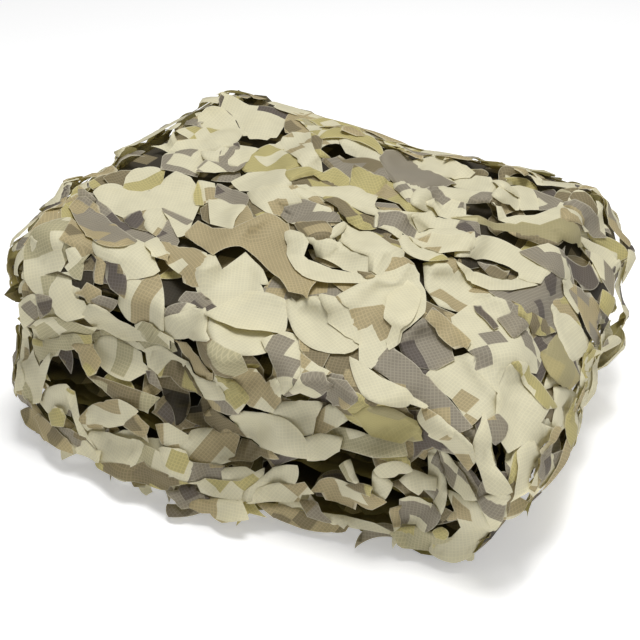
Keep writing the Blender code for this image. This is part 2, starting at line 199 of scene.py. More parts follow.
def cloth_material():
    material = bpy.data.materials.new("printed_ripstop")
    material.use_nodes = True
    nodes, links = material.node_tree.nodes, material.node_tree.links
    shader = nodes["Principled BSDF"]
    output = nodes["Material Output"]

    def math_node(operation, first, second=None, third=None):
        node = new_node(nodes, "ShaderNodeMath", operation=operation)
        for socket, value in zip(node.inputs, (first, second, third)):
            if value is None:
                continue
            if isinstance(value, (int, float)):
                socket.default_value = value
            else:
                links.new(value, socket)
        return node.outputs[0]

    def mix_node(factor, first, second, blend="MIX"):
        node = new_node(nodes, "ShaderNodeMix", data_type="RGBA", blend_type=blend)
        for index, value in zip(MIX_INPUTS, (factor, first, second)):
            socket = node.inputs[index]
            if isinstance(value, (int, float)):
                socket.default_value = value
            elif isinstance(value, tuple):
                socket.default_value = (*value, 1.0)
            else:
                links.new(value, socket)
        return node.outputs[MIX_OUTPUT]

    def noise_node(place, scale, detail):
        node = new_node(nodes, "ShaderNodeTexNoise", noise_dimensions="2D")
        set_inputs(node, {"Scale": scale, "Detail": detail})
        links.new(place, node.inputs["Vector"])
        return node.outputs["Fac"]

    def split_colour(colour):
        node = new_node(nodes, "ShaderNodeSeparateColor")
        links.new(colour, node.inputs[0])
        return node.outputs

    def tone_ramp(value):
        node = new_node(nodes, "ShaderNodeValToRGB")
        ramp = node.color_ramp
        ramp.interpolation = "CONSTANT"
        while len(ramp.elements) < len(TONES):
            ramp.elements.new(0.5)
        for index, name in enumerate(TONES):
            ramp.elements[index].position = index / len(TONES)
            ramp.elements[index].color = (*TONES[name], 1.0)
        links.new(value, node.inputs[0])
        return node.outputs[0]

    # Blocks of the print: the flat cloth's own coordinates, in blocks, and a number drawn for each block
    place = new_node(nodes, "ShaderNodeUVMap", uv_map="cloth").outputs[0]
    facts = new_node(nodes, "ShaderNodeAttribute", attribute_name="print")
    main_tone, other_tone, share = split_colour(facts.outputs["Color"])
    block = new_node(nodes, "ShaderNodeVectorMath", operation="FLOOR")
    links.new(place, block.inputs[0])
    patch = noise_node(block.outputs[0], PATCH_SCALE, PATCH_DETAIL)
    speck = new_node(nodes, "ShaderNodeTexWhiteNoise", noise_dimensions="2D")
    links.new(block.outputs[0], speck.inputs["Vector"])
    drawn = math_node("MULTIPLY_ADD", speck.outputs["Value"], SPECK, patch)
    level = math_node("MULTIPLY_ADD", math_node("SUBTRACT", drawn, LEVEL_MIDDLE), LEVEL_SPREAD, 0.5)
    inside = math_node("LESS_THAN", level, share)
    print_colour = mix_node(inside, tone_ramp(main_tone), tone_ramp(other_tone))

    # Ripstop threads: a fine square grid, lighter on the dark tones
    threads = new_node(nodes, "ShaderNodeSeparateXYZ")
    links.new(place, threads.inputs[0])
    lines = []
    for socket in threads.outputs[:2]:
        phase = math_node("FRACT", math_node("MULTIPLY", socket, float(RIP_THREADS)))
        lines.append(math_node("LESS_THAN", phase, THREAD_WIDTH))
    grid = math_node("MAXIMUM", *lines)
    lighter = mix_node(1.0, print_colour, THREAD_TINT, "MULTIPLY")
    redness = split_colour(print_colour)[0]
    showing = math_node("MULTIPLY", grid, math_node("SUBTRACT", THREAD_SHOWS, redness))
    threaded = mix_node(showing, print_colour, lighter)

    # The dye's unevenness, and the pale cut edge
    uneven = new_node(nodes, "ShaderNodeMapRange")
    set_inputs(uneven, {"To Min": MOTTLE_LOW, "To Max": MOTTLE_HIGH})
    links.new(noise_node(place, MOTTLE_SCALE, MOTTLE_DETAIL), uneven.inputs["Value"])
    dyed = mix_node(1.0, threaded, uneven.outputs[0], "MULTIPLY")
    edge = new_node(nodes, "ShaderNodeAttribute", attribute_name="edge").outputs["Fac"]
    edged = mix_node(math_node("MULTIPLY", edge, EDGE_PALENESS), dyed, EDGE_TONE)

    # The reverse is yellower, and its print is fainter
    back_side = new_node(nodes, "ShaderNodeNewGeometry").outputs["Backfacing"]
    reverse = mix_node(REVERSE_YELLOW, edged, TONES["olive"])
    colour = mix_node(back_side, edged, reverse)
    links.new(colour, shader.inputs["Base Color"])
    set_inputs(shader, {"Roughness": ROUGHNESS, "Specular IOR Level": SHEEN})
    bump = new_node(nodes, "ShaderNodeBump")
    set_inputs(bump, {"Strength": THREAD_BUMP, "Distance": THREAD_HEIGHT})
    links.new(grid, bump.inputs["Height"])
    links.new(bump.outputs[0], shader.inputs["Normal"])

    # Thin coated cloth lets some light through, yellowed
    through = new_node(nodes, "ShaderNodeBsdfTranslucent")
    links.new(mix_node(THROUGH_YELLOW, colour, THROUGH_TONE), through.inputs["Color"])
    both = new_node(nodes, "ShaderNodeMixShader")
    both.inputs[0].default_value = THROUGH_SHARE
    links.new(shader.outputs[0], both.inputs[1])
    links.new(through.outputs[0], both.inputs[2])
    links.new(both.outputs[0], output.inputs["Surface"])
    return material


# ---------------------------------------------------------------- lines of sight and their depth maps
def moved_along(values, reach, axis):
    """The map moved by every step up to reach, both ways along an axis, with its rim repeated."""
    padding = [(0, 0), (0, 0)]
    padding[axis] = (reach, reach)
    padded = np.pad(values, padding, mode="edge")
    length = values.shape[axis]
    return (np.take(padded, range(k, k + length), axis) for k in range(2 * reach + 1))


def blurred(values, radius):
    """A Gaussian blur of a map. radius is in cells."""
    reach = max(1, int(round(radius * BLUR_REACH)))
    weights = np.exp(-0.5 * (np.arange(-reach, reach + 1) / radius) ** 2)
    weights /= weights.sum()
    for axis in (0, 1):
        values = sum(weight * moved for weight, moved in zip(weights, moved_along(values, reach, axis)))
    return values


def widest(values, radius, pick):
    """The least or greatest value within radius cells, by squares."""
    for axis in (0, 1):
        values = reduce(pick, moved_along(values, radius, axis), values)
    return values


def cell_centres(columns, rows):
    """Where the middles of a block of the map's cells lie in the picture."""
    return np.meshgrid(*((np.arange(*ends) + 0.5) * MAP_CELL for ends in (columns, rows)))


def sample(values, u, v, column=0, row=0):
    """A map's values between its cells, at places in pixels. column and row are those of its first cell."""
    x = np.clip(np.asarray(u) / MAP_CELL - 0.5 - column, 0, values.shape[1] - MAP_END)
    y = np.clip(np.asarray(v) / MAP_CELL - 0.5 - row, 0, values.shape[0] - MAP_END)
    i, j = x.astype(int), y.astype(int)
    across, down = x - i, y - j
    return ((values[j, i] * (1 - across) + values[j, i + 1] * across) * (1 - down)
            + (values[j + 1, i] * (1 - across) + values[j + 1, i + 1] * across) * down)


class View:
    """A line of sight with its picture plane in pixels, and a map of how near the nearest cloth is.

    With a focal length it is a camera. Without one its lines of sight are parallel, and its scale is in
    pixels a metre.
    """

    def __init__(self, azimuth, elevation, target, distance=CAMERA_DISTANCE, focal=None, scale=PHOTO_SCALE):
        a, e = math.radians(azimuth), math.radians(elevation)
        self.back = np.array([math.sin(a) * math.cos(e), -math.cos(a) * math.cos(e), math.sin(e)])
        self.right = np.array([math.cos(a), math.sin(a), 0.0])
        self.up = np.cross(self.back, self.right)
        self.eye = np.array(target) + self.back * distance
        self.focal = focal
        self.scale = scale

    def points(self, u, v, depth):
        """Where points of the picture are that lie a depth in front of the eye."""
        u, v, depth = (np.asarray(value, float) for value in (u, v, depth))
        scale = depth / self.focal if self.focal else np.full_like(depth, 1 / self.scale)
        across, down = (u - PICTURE / 2) * scale, (v - PICTURE / 2) * scale
        return (self.eye + across[..., None] * self.right - down[..., None] * self.up
                - depth[..., None] * self.back)

    def pixels(self, points):
        """Where points of space lie in the picture, and their depth in front of the eye."""
        away = np.asarray(points, float) - self.eye
        depth = -(away @ self.back)
        scale = self.focal / depth if self.focal else self.scale
        return PICTURE / 2 + (away @ self.right) * scale, PICTURE / 2 - (away @ self.up) * scale, depth

    def cells(self, points):
        """The row and column of the map's cells that points of space lie in, and the points' depth."""
        u, v, depth = self.pixels(points)
        row, column = (np.clip((place / MAP_CELL).astype(int), 0, MAP_SIZE - 1) for place in (v, u))
        return (row, column), depth

    def look(self, tree, hull, bare_cloth):
        """Fills the depth map from a search tree of what is there, and marks where bare_cloth is seen."""
        self.hull = hull
        self.near = np.full((MAP_SIZE, MAP_SIZE), FAR)
        self.bare = np.zeros((MAP_SIZE, MAP_SIZE), bool)
        centres = (np.arange(MAP_SIZE) + 0.5) * MAP_CELL
        for row, v in enumerate(centres):
            ends = self.points(centres, np.full(MAP_SIZE, v), np.full(MAP_SIZE, 1.0))
            starts = np.broadcast_to(self.eye, ends.shape) if self.focal else ends + self.back
            for column in range(MAP_SIZE):
                start = Vector(starts[column])
                direction = (Vector(ends[column]) - start).normalized()
                hit = tree.ray_cast(start, direction)[0]
                if hit is None:
                    continue
                self.near[row, column] = -(np.array(hit) - self.eye) @ self.back
                found = bare_cloth.ray_cast(start, direction)[0]
                self.bare[row, column] = found is not None and (found - hit).length < SAME_PLACE

    def settle(self):
        """Keeps the smooth outer form of what the map holds, carried on past its outline."""
        self.solid = self.near < FAR
        self.wide = widest(self.solid, RIM, np.maximum)
        filled = np.where(self.solid, self.near, 0.0)
        form, known = np.zeros_like(filled), np.zeros_like(filled)
        for radius in FILL_RADII:
            weight = blurred(self.solid.astype(float), radius)
            value = blurred(filled, radius) / np.maximum(weight, TINY)
            form = np.where(known > KNOWN, form, value)
            known = np.maximum(known, weight)
        form = np.where(self.solid, self.near, form)
        closed = widest(widest(form, CLOSING, np.minimum), CLOSING, np.maximum)
        self.form = blurred(closed, FORM_SOFTNESS)

    def surface(self, u, v):
        """The smooth form's point and outward normal at a place in the picture."""
        step = SLOPE_STEP
        places = np.array([[u, v], [u + step, v], [u, v + step], [u - step, v], [u, v - step]])
        p = self.points(places[:, 0], places[:, 1], sample(self.form, places[:, 0], places[:, 1]))
        normal = np.cross(p[1] - p[3], p[4] - p[2])
        normal /= np.linalg.norm(normal)
        return p[0], normal if normal @ self.back > 0 else -normal


# ---------------------------------------------------------------- leaves
def rounded(corners, step=EDGE_STEP):
    """Points along an outline.

    A corner is (x, y, bulge), and its bulge says how far the next side swells out, as a share of half that
    side's length. Without one the side is straight.
    """
    corners = [corner if len(corner) == 3 else (*corner, 0.0) for corner in corners]
    turned = sum(a[0] * b[1] - b[0] * a[1] for a, b in zip(corners, corners[1:] + corners[:1]))
    outward = 1.0 if turned > 0 else -1.0
    points = []
    for (ax, ay, bulge), (bx, by, _) in zip(corners, corners[1:] + corners[:1]):
        a, b = np.array([ax, ay], float), np.array([bx, by], float)
        half = (b - a) / 2
        length = 2 * np.linalg.norm(half)
        count = max(1, int(round(length * (1 + 0.5 * bulge * bulge) / step)))
        side = np.array([half[1], -half[0]]) * outward
        for k in range(count):
            t = 2 * k / count - 1
            if abs(bulge) < FLAT_SIDE:
                points.append((a + b) / 2 + half * t)
                continue
            radius = (1 + bulge * bulge) / (2 * abs(bulge))
            sweep = math.asin(min(1.0, 1 / radius)) if abs(bulge) <= 1 else math.pi - math.asin(1 / radius)
            angle = t * sweep
            along = radius * math.sin(angle)
            out = radius * math.cos(angle) - (radius - abs(bulge))
            points.append((a + b) / 2 + half * along + side * out * math.copysign(1, bulge))
    return np.array(points)


def within(polygon, x, y):
    """Which of the points lie inside the polygon."""
    inside = np.zeros(x.shape, bool)
    for (ax, ay), (bx, by) in zip(polygon, np.roll(polygon, -1, axis=0)):
        crosses = (ay > y) != (by > y)
        inside ^= crosses & (x < (bx - ax) * (y - ay) / (by - ay + TINIER) + ax)
    return inside


def drawn_in(polygon, amount):
    """The polygon with its sides moved in."""
    before, after = np.roll(polygon, 1, axis=0), np.roll(polygon, -1, axis=0)
    along = after - before
    along /= np.linalg.norm(along, axis=1, keepdims=True) + TINIER
    turned = float(np.sum(polygon[:, 0] * after[:, 1] - after[:, 0] * polygon[:, 1]))
    return polygon + np.stack([-along[:, 1], along[:, 0]], 1) * amount * math.copysign(1, turned)


Lie = namedtuple("Lie", "rise tip_way tip_rise curl_way curl")
Print = namedtuple("Print", "main other share angle")


def new_object(name, data):
    """An object of that name in the scene."""
    made = bpy.data.objects.new(name, data)
    bpy.context.scene.collection.objects.link(made)
    return made


class Cloth:
    """Leaves gathered into one mesh."""

    def __init__(self, name):
        self.name = name
        self.points, self.faces, self.places, self.prints, self.edges = [], [], [], [], []

    def add(self, points, faces, places, facts, edge):
        """Adds a leaf: its print's places and facts, and how far each point belongs to the pale cut edge."""
        first = len(self.points)
        self.points.extend(points)
        self.faces.extend([[first + k for k in face] for face in faces])
        self.places.extend(places)
        self.prints.extend([facts] * len(points))
        self.edges.extend(edge)

    def build(self, material):
        """Makes the object, with what the material reads from it."""
        mesh = bpy.data.meshes.new(self.name)
        mesh.from_pydata([tuple(point) for point in self.points], [], self.faces)
        corners = np.empty(len(mesh.loops), np.int32)
        mesh.loops.foreach_get("vertex_index", corners)
        layer = mesh.uv_layers.new(name="cloth")
        layer.data.foreach_set("uv", np.array(self.places, np.float32)[corners].ravel())
        facts = mesh.attributes.new("print", "FLOAT_COLOR", "POINT")
        facts.data.foreach_set("color", np.array(self.prints, np.float32).ravel())
        edge = mesh.attributes.new("edge", "FLOAT", "POINT")
        edge.data.foreach_set("value", np.array(self.edges, np.float32))
        mesh.polygons.foreach_set("use_smooth", [True] * len(mesh.polygons))
        mesh.materials.append(material)
        mesh.update()
        return new_object(self.name, mesh)


def print_facts(ink, draw):
    """A leaf's two tones and the other tone's share. The material doesn't read the last number, but its draw
    belongs to the seeded order."""
    return (tone_value(ink.main), tone_value(ink.other), ink.share, draw.random())


def held_near(hull, point):
    """The point, or a nearer one where it stands further off the bundle than a leaf can."""
    found, _, _, distance = hull.find_nearest(Vector(point))
    if distance <= LEAF_OFF:
        return point
    found = np.array(found)
    kept = LEAF_OFF + LEAF_MORE * (1 - math.exp((LEAF_OFF - distance) / LEAF_MORE))
    point = found + (point - found) * (kept / distance)
    point[2] = max(point[2], PLY_GAP)
    return point


def above_floor(view, points):
    """The points, drawn up along their lines of sight where they lie under the floor."""
    sunk = points[:, 2] < PLY_GAP
    if sunk.any():
        toward = (points - view.eye) if view.focal else np.broadcast_to(-view.back, points.shape)
        fall = np.where(np.abs(toward[:, 2]) < -SHALLOWEST, SHALLOWEST, toward[:, 2])
        climb = (PLY_GAP - points[:, 2]) / fall
        points = np.where(sunk[:, None], points + toward * climb[:, None], points)
        points[:, 2] = np.maximum(points[:, 2], PLY_GAP)
    return points


def draped(outline, lie, scale, form, near, inside, centres, draw):
    """How deep a leaf lies at each cell of its part of the map.

    form and near are the depths of the smooth form and of the nearest cloth there, inside marks the leaf's
    own cells, and centres are where the cells lie in the picture.
    """
    u, v = centres
    low, high = outline.min(0), outline.max(0)
    middle, half = (low + high) / 2, max(LEAST_HALF, float((high - low).max()) / 2)

    def leaning(way):
        angle = math.radians(way)
        return ((u - middle[0]) * math.cos(angle) + (v - middle[1]) * math.sin(angle)) / half

    # The leaf's own form: a tip that stands up, a curl, soft waves and creases
    plane = form - lie.rise
    plane = plane - lie.tip_rise * np.clip(leaning(lie.tip_way) * 0.5 + 0.5, 0, TIP_REACH) ** TIP_BEND
    plane = plane - lie.curl * (leaning(lie.curl_way) ** 2 - CURL_CENTRE)
    seed = draw.random() * SEEDS
    plane = plane + WAVE * np.sin(u * WAVE_RATES[0] + seed) * np.cos(v * WAVE_RATES[1] + 2 * seed)
    across = (u * math.cos(seed) + v * math.sin(seed)) / CREASE_SPACING + seed
    plane = plane - CREASE * np.abs(across % 2 - 1) ** CREASE_SHARPNESS

    # Raised until most of it is clear of what lies under it, then shaped by what still stands out
    cell = MAP_CELL / scale
    down, across = np.gradient(plane)
    gap = PLY_GAP * np.clip(np.sqrt(1 + (down / cell) ** 2 + (across / cell) ** 2), 1, MOST_GAP)
    need = np.clip(plane - (near - gap), NEED_LEAST, NEED_MOST)
    plane = plane - float(np.clip(np.percentile(need[inside], DRAPE), 0.0, MOST_RAISED))
    bump = np.clip(near - plane, BUMP_LOW, BUMP_HIGH)
    under = plane + blurred(widest(bump, COVER, np.minimum), COVER_SOFTNESS)
    touched = np.minimum(plane, under - gap)
    laid = blurred(np.where(inside, touched, plane), LEAF_SOFTNESS)
    return blurred(np.minimum(laid, np.where(inside, touched, laid)), LAST_SOFTNESS)


def flat_mesh(outline):
    """Points that fill the outline, their triangles, and which of them are on the cut edge."""
    low, high = outline.min(0), outline.max(0)
    grid = np.meshgrid(*(np.arange(low[k] + GRID_START, high[k] - GRID_END, LEAF_STEP) for k in (0, 1)))
    kept = within(drawn_in(outline, INNER_MARGIN), *grid)
    filling = np.stack([axis[kept] for axis in grid], 1)
    count = len(outline)
    ring = [(k, (k + 1) % count) for k in range(count)]
    flat = np.concatenate([outline, drawn_in(outline, CUT_EDGE), filling])
    found = geometry.delaunay_2d_cdt([Vector(p) for p in flat], ring, [], 1, SAME_PIXEL)
    edge = [1.0 if any(k < count for k in source) else 0.0 for source in found[3]]
    return np.array([tuple(p) for p in found[0]]), [list(face) for face in found[2]], edge


def print_places(points, angle, draw):
    """The leaf's own flat coordinates in blocks of the print, turned by an angle and drawn a start."""
    spread = points - points.mean(0)
    axes = np.linalg.eigh(spread.T @ spread)[1]
    a, b = spread @ axes[:, 2], spread @ axes[:, 1]
    turn = math.radians(angle)
    places = np.stack([a * math.cos(turn) - b * math.sin(turn), a * math.sin(turn) + b * math.cos(turn)], 1)
    return places / PRINT_BLOCK + np.array([draw.uniform(0, PRINT_RANGE), draw.uniform(0, PRINT_RANGE)])


def lay(cloth, view, outline, lie, ink, draw):
    """Lays a leaf with that outline in the view's picture on what is under it there."""
    low, high = outline.min(0), outline.max(0)
    c0, r0 = (max(0, int(low[k] // MAP_CELL) - MAP_MARGIN) for k in (0, 1))
    c1, r1 = (min(MAP_SIZE, int(high[k] // MAP_CELL) + MAP_MARGIN + 1) for k in (0, 1))
    if min(c1 - c0, r1 - r0) <= MAP_MARGIN:
        return
    centres = cell_centres((c0, c1), (r0, r1))
    inside = within(outline, *centres)
    if inside.sum() < LEAST_CELLS:
        return
    window = slice(r0, r1), slice(c0, c1)
    near = view.near[window]
    laid = draped(outline, lie, view.scale, view.form[window], near, inside, centres, draw)
    flat, faces, edge = flat_mesh(outline)
    depth = sample(laid, flat[:, 0], flat[:, 1], c0, r0)
    points = above_floor(view, view.points(flat[:, 0], flat[:, 1], depth))
    points = np.array([held_near(view.hull, point) for point in points])
    # The view's own maps then hold this leaf too
    near[inside] = np.minimum(near[inside], laid[inside])
    view.bare[window] &= ~inside
    places = print_places(points, ink.angle, draw)
    if faces:
        p = points[faces[0]]
        if np.cross(p[1] - p[0], p[2] - p[0]) @ view.back < 0:
            faces = [face[::-1] for face in faces]
    cloth.add(points, faces, places, print_facts(ink, draw), edge)


# Leaf outlines on the flat cloth as corners for rounded, in shares of a radius, with the tip towards +x
def disc(draw):
    return [(-0.55, -0.8, 1.25), (-0.55, 0.8, draw.uniform(-0.1, 0.15))]


def notched_disc(draw):
    way = draw.uniform(-0.9, 0.9)
    notch = 1 - draw.uniform(0.35, 0.65)
    first, last = way - NOTCH_HALF, way + NOTCH_HALF
    return [(-0.6, -0.75, 0.55), (math.cos(first), math.sin(first), 0),
            (notch * math.cos(way), notch * math.sin(way), 0),
            (math.cos(last), math.sin(last), 0.55), (-0.6, 0.75, 0.0)]


def half_disc(draw):
    return [(-0.3, -1, 0.95), (-0.3, 1, draw.uniform(-0.3, 0.1))]


def ground_strip(draw):
    return [(-1.5, -0.5, -0.35), (0.2, -0.75, 0.2), (1.6, -0.35, 0.0), (1.3, 0.45, -0.45),
            (-0.2, 0.55, 0.25), (-1.4, 0.5, -0.1)]


def fishtail(draw):
    return [(-1, -0.55, -0.25), (0.9, -0.8, 0.0), (0.55, 0.0, 0.0), (1.05, 0.75, -0.3), (-1, 0.6, 0.1)]


def crescent(draw):
    return [(-0.2, -1, 0.85), (-0.1, 1, -0.35)]


def strip(draw):
    return [(-1.2, -0.3, 0.15), (1.1, -0.4, 0.5), (1.15, 0.3, -0.15), (-1.1, 0.4, 0.3)]


# Each outline with its radius in mm. One that comes twice is drawn twice as often.
SHAPES = ((disc, 25), (disc, 25), (half_disc, 29), (half_disc, 29), (notched_disc, 25), (ground_strip, 25),
          (ground_strip, 25), (fishtail, 25), (crescent, 27), (strip, 26))
# Prints to draw from: main tone, other tone and that one's share
INKS = (("cream", "tan", 0.14), ("cream", "grey", 0.16), ("cream", "cream", 0.0), ("cream", "cream", 0.0),
        ("cream", "olive", 0.10), ("cream", "cream", 0.0), ("cream", "grey", 0.30), ("cream", "tan", 0.30),
        ("tan", "cream", 0.25), ("tan", "grey", 0.25), ("grey", "cream", 0.25), ("grey", "dark", 0.25),
        ("sage", "cream", 0.30), ("cream", "dark", 0.12), ("dark", "grey", 0.35), ("olive", "cream", 0.20))
# The same for the leaves that lie under the others, and for those down in the hollows between the folds.
# Their darker tones are painted shade, for the shadow that falls under the others and in the hollows.
UNDER_SHADE_INKS = (("shaded_tan", "cream", 0.20), ("dark", "grey", 0.30), ("olive", "shaded_tan", 0.50),
             ("shaded_tan", "tan", 0.40), ("sage", "shaded_tan", 0.30))
HOLLOW_SHADE_INKS = (("shade", "shaded_tan", 0.35), ("shaded_tan", "olive", 0.30), ("dark", "shaded_tan", 0.40),
               ("shaded_tan", "tan", 0.25))


def heading_at(point, normal):
    """The way that a leaf's tip points there: down a side, and across the top towards its nearer edge."""
    way = DOWN_WAY
    if normal[2] > FLAT_TOP:
        way = LEFT_WAY if point[0] < TOP_PARTING else RIGHT_WAY
    way = np.array(way)
    way = way - normal * (way @ normal)
    return way / (np.linalg.norm(way) + TINY)


def stays_in(view, points, least):
    """Whether at least a share of the points stays inside the bundle's outline in a view."""
    cells, _ = view.cells(points)
    return view.wide[cells].mean() > least


def stays_behind(view, points):
    """Whether the points stay behind what a view already shows there, or nearly."""
    cells, depth = view.cells(points)
    nearest = np.where(view.near[cells] < FAR, view.near[cells], 0.0)
    return (depth > nearest - PLY_GAP).mean() > BEHIND_SHARE


def fits(points, view, outer, least):
    """Whether a leaf may lie there, as the view and the outer one see it."""
    if not stays_in(view, points, least):
        return False
    return outer is None or (stays_in(outer, points, least) and stays_behind(outer, points))


def scatter(cloth, view, plan, draw, inks=INKS, skip=None, keep=None, outer=None, deep=False,
            bare_only=False):
    """Lays one round of seeded leaves over what the view sees, tips over roots.

    skip is a map of places that are left alone, and keep says of a place whether a leaf may lie there. A
    leaf is made smaller until it fits, and left out if it doesn't. Deep ones follow what lies down in the
    hollows, and bare_only ones lie only where the plies still show.
    """
    placed = []
    for v in np.arange(MARGIN, PICTURE - MARGIN, plan.pitch):
        for u in np.arange(MARGIN, PICTURE - MARGIN, plan.pitch):
            a = u + draw.uniform(-JITTER, JITTER) * plan.pitch
            b = v + draw.uniform(-JITTER, JITTER) * plan.pitch
            placed.append((a, b, (int(b / MAP_CELL), int(a / MAP_CELL)), draw.random()))
    ready = []
    for u, v, cell, order in placed:
        if not view.solid[cell] or (skip is not None and skip[cell]):
            continue
        point, normal = view.surface(u, v)
        if normal @ view.back < plan.least_facing or (keep is not None and not keep(point, normal)):
            continue
        normal = normal + plan.turned * view.back
        normal /= np.linalg.norm(normal)
        way = heading_at(point, normal)
        ready.append((ORDER_JITTER * order - float(point @ way), u, v, cell, point, normal, way))
    ready.sort(key=lambda item: item[0])
    for _, u, v, cell, point, normal, way in ready:
        if bare_only and not view.bare[cell]:
            continue
        rise = min(0.0, view.form[cell] - view.near[cell]) + DEEP_RISE if deep else plan.rise
        turn = draw.gauss(0, TURN_SPREAD)
        ahead = way * math.cos(turn) + np.cross(normal, way) * math.sin(turn)
        aside = np.cross(normal, ahead)
        cut, radius = draw.choice(SHAPES)
        radius *= draw.uniform(*plan.sizes)
        corners = [(x * radius, y * radius, bulge) for x, y, bulge in cut(draw)]
        for share in TRIED_SIZES:
            flat = rounded(corners, SEEDED_STEP) * MM * share
            world = point + flat[:, :1] * ahead + flat[:, 1:] * aside
            if fits(world, view, outer, plan.least):
                break
        else:
            continue
        outline = np.stack(view.pixels(world)[:2], 1)
        tip_u, tip_v, _ = view.pixels(point + ahead * TIP_STEP)
        tip_way = math.degrees(math.atan2(tip_v - v, tip_u - u))
        lie = Lie(rise, tip_way, draw.uniform(*plan.lift), draw.uniform(0, 180), draw.gauss(0, CURL_SPREAD))
        ink = Print(*draw.choice(inks), draw.uniform(0, 90))
        lay(cloth, view, outline, lie, ink, draw)


def search_tree(objects):
    """A tree that finds where a ray meets the objects, and their nearest point."""
    points, faces = [], []
    for piece in objects:
        first = len(points)
        mesh = piece.data
        points.extend(vertex.co.copy() for vertex in mesh.vertices)
        faces.extend([first + k for k in polygon.vertices] for polygon in mesh.polygons)
    return BVHTree.FromPolygons(points, faces)


# ---------------------------------------------------------------- the folded cloth, as the part has it
CLOTH = 0.0025               # thickness of the cut cloth with its crumple
CLOTH_DEPTH = 0.270          # front edge to back edge of the folded cloth, without its lobes
CELL_ROWS = 5                # leaf cells from the front edge to the back edge
RUN_COLUMNS = 6              # leaf cells along one layer
CELL = CLOTH_DEPTH / CELL_ROWS

# The layers from the top of the bundle to the bottom: height of the cloth, and where its straight run starts
# and ends. The wider space between the fourth and fifth is where the stack was doubled over.
Layer = namedtuple("Layer", "height left right")
LAYERS = {
    1: Layer(0.1770, -0.178, 0.118),
    2: Layer(0.1540, -0.166, 0.122),
    3: Layer(0.1310, -0.168, 0.128),
    4: Layer(0.1080, -0.170, 0.132),
    5: Layer(0.0720, -0.176, 0.132),
    6: Layer(0.0490, -0.178, 0.128),
    7: Layer(0.0250, -0.178, 0.122),
    8: Layer(CLOTH / 2, -0.174, 0.118),
}
# The order in which the cloth runs through the layers, to the right and to the left by turns.
ORDER = (1, 8, 7, 2, 3, 6, 5, 4)
# The fold after each of those layers but the last: its reach past the runs, and its columns of cells.
Fold = namedtuple("Fold", "reach columns")
FOLDS = (Fold(0.070, 5), Fold(0.022, 2), Fold(0.052, 3), Fold(0.020, 2), Fold(0.034, 3), Fold(0.020, 2),
         Fold(0.016, 2))
FOLD_SQUARENESS = 0.80       # 1 is a half ellipse, less is boxier
APRON_ROLL = 0.026           # radius of the rounded front edge

# The bundle's uneven outer form
TOP_FALL = 0.022             # how much lower the top lies at the right end
FALL_START = -0.180          # the fall's place along X
FALL_RUN = 0.360
FRONT_SINK = 0.016           # how far the top's front edge sinks
RIGHT_SINK = 0.010           # how far its right edge sinks
BACK_PEAK = 0.010            # how far the top rises at its back left corner
BACK_TAPER = 0.034           # how far that corner of the top lies in from the left end
LOW_TAPER = 0.012            # how far the lowest part of the right end is drawn in
LOW_TAPER_RATE = 1.6         # how fast that ends with height
FrontPlace = namedtuple("FrontPlace", "x forward")
FRONT_LINE = (FrontPlace(-0.19, -0.020), FrontPlace(-0.12, -0.008), FrontPlace(-0.05, 0.012),
              FrontPlace(0.06, 0.000), FrontPlace(0.17, 0.014))
# Where those start, counted outward from the middle, and how long they take to reach their full amount
Reach = namedtuple("Reach", "start length")
FRONT_REACH = Reach(0.04, 0.10)
BACK_REACH = Reach(-0.04, 0.16)
LEFT_REACH = Reach(-0.02, 0.20)
RIGHT_REACH = Reach(0.06, 0.13)
LAYER_WAVE = 0.003           # each layer's own unevenness
LAYER_WAVE_RATES = Vector((14.0, 14.0, 60.0))
# The top's two sets of swells: height, radians a metre along X and Y, and what those start from
BROAD_SWELL, BROAD_RATES, BROAD_STARTS = 0.005, (17, 13), (1.0, 0.4)
NARROW_SWELL, NARROW_RATES = 0.003, (9, 31)
PAST_END, PATH_STEP = 0.1, 0.05            # columns over which the path's direction is taken

BUNDLE_SHIFT = Vector((0.0026, 0.0060, 0.0))    # puts the middle of the whole form over the origin


# ---------------------------------------------------------------- the path of the cloth, seen from the front
def signed_power(value, power):
    return math.copysign(abs(value) ** power, value)


def run_path(layer, rightward):
    """A layer's straight run: from a share of its length to a point in X and Z."""
    row = LAYERS[layer]
    start, end = (row.left, row.right) if rightward else (row.right, row.left)
    return lambda share: (start + (end - start) * share, row.height)


def fold_path(upper, lower, rightward, reach):
    """A fold from one layer's end round to the next layer's start."""
    side = 1 if rightward else -1
    first = upper.right if rightward else upper.left
    last = lower.right if rightward else lower.left
    middle = (upper.height + lower.height) / 2
    half = (upper.height - lower.height) / 2

    def point(share):
        angle = math.pi * share
        bulge = side * reach * signed_power(math.sin(angle), FOLD_SQUARENESS)
        return (first + (last - first) * share + bulge,
                middle + half * signed_power(math.cos(angle), FOLD_SQUARENESS))

    return point


def path_sections():
    """The path's sections in order: first column, columns and path."""
    sections = []
    column = 0
    for index, layer in enumerate(ORDER):
        rightward = index % 2 == 0
        sections.append((column, RUN_COLUMNS, run_path(layer, rightward)))
        column += RUN_COLUMNS
        if index < len(FOLDS):
            fold = FOLDS[index]
            bend = fold_path(LAYERS[layer], LAYERS[ORDER[index + 1]], rightward, fold.reach)
            sections.append((column, fold.columns, bend))
            column += fold.columns
    return sections, column


SECTIONS, COLUMNS = path_sections()


def path_point(column):
    """A point of the path. Past either end the path goes straight on."""
    inside = min(max(column, 0.0), float(COLUMNS))
    if column != inside:
        back = PAST_END if inside == 0.0 else -PAST_END
        end = path_point(inside)
        return end + (end - path_point(inside + back)) * abs(column - inside) / abs(back)
    for first, columns, path in reversed(SECTIONS):
        if column >= first:
            x, z = path((column - first) / columns)
            return Vector((x, 0.0, z))
    raise ValueError(column)


def path_normal(column):
    """Left-hand normal of the path: up on the top layer, outward on the big fold at the right."""
    along = path_point(column + PATH_STEP) - path_point(column - PATH_STEP)
    return Vector((-along.z, 0.0, along.x)).normalized()


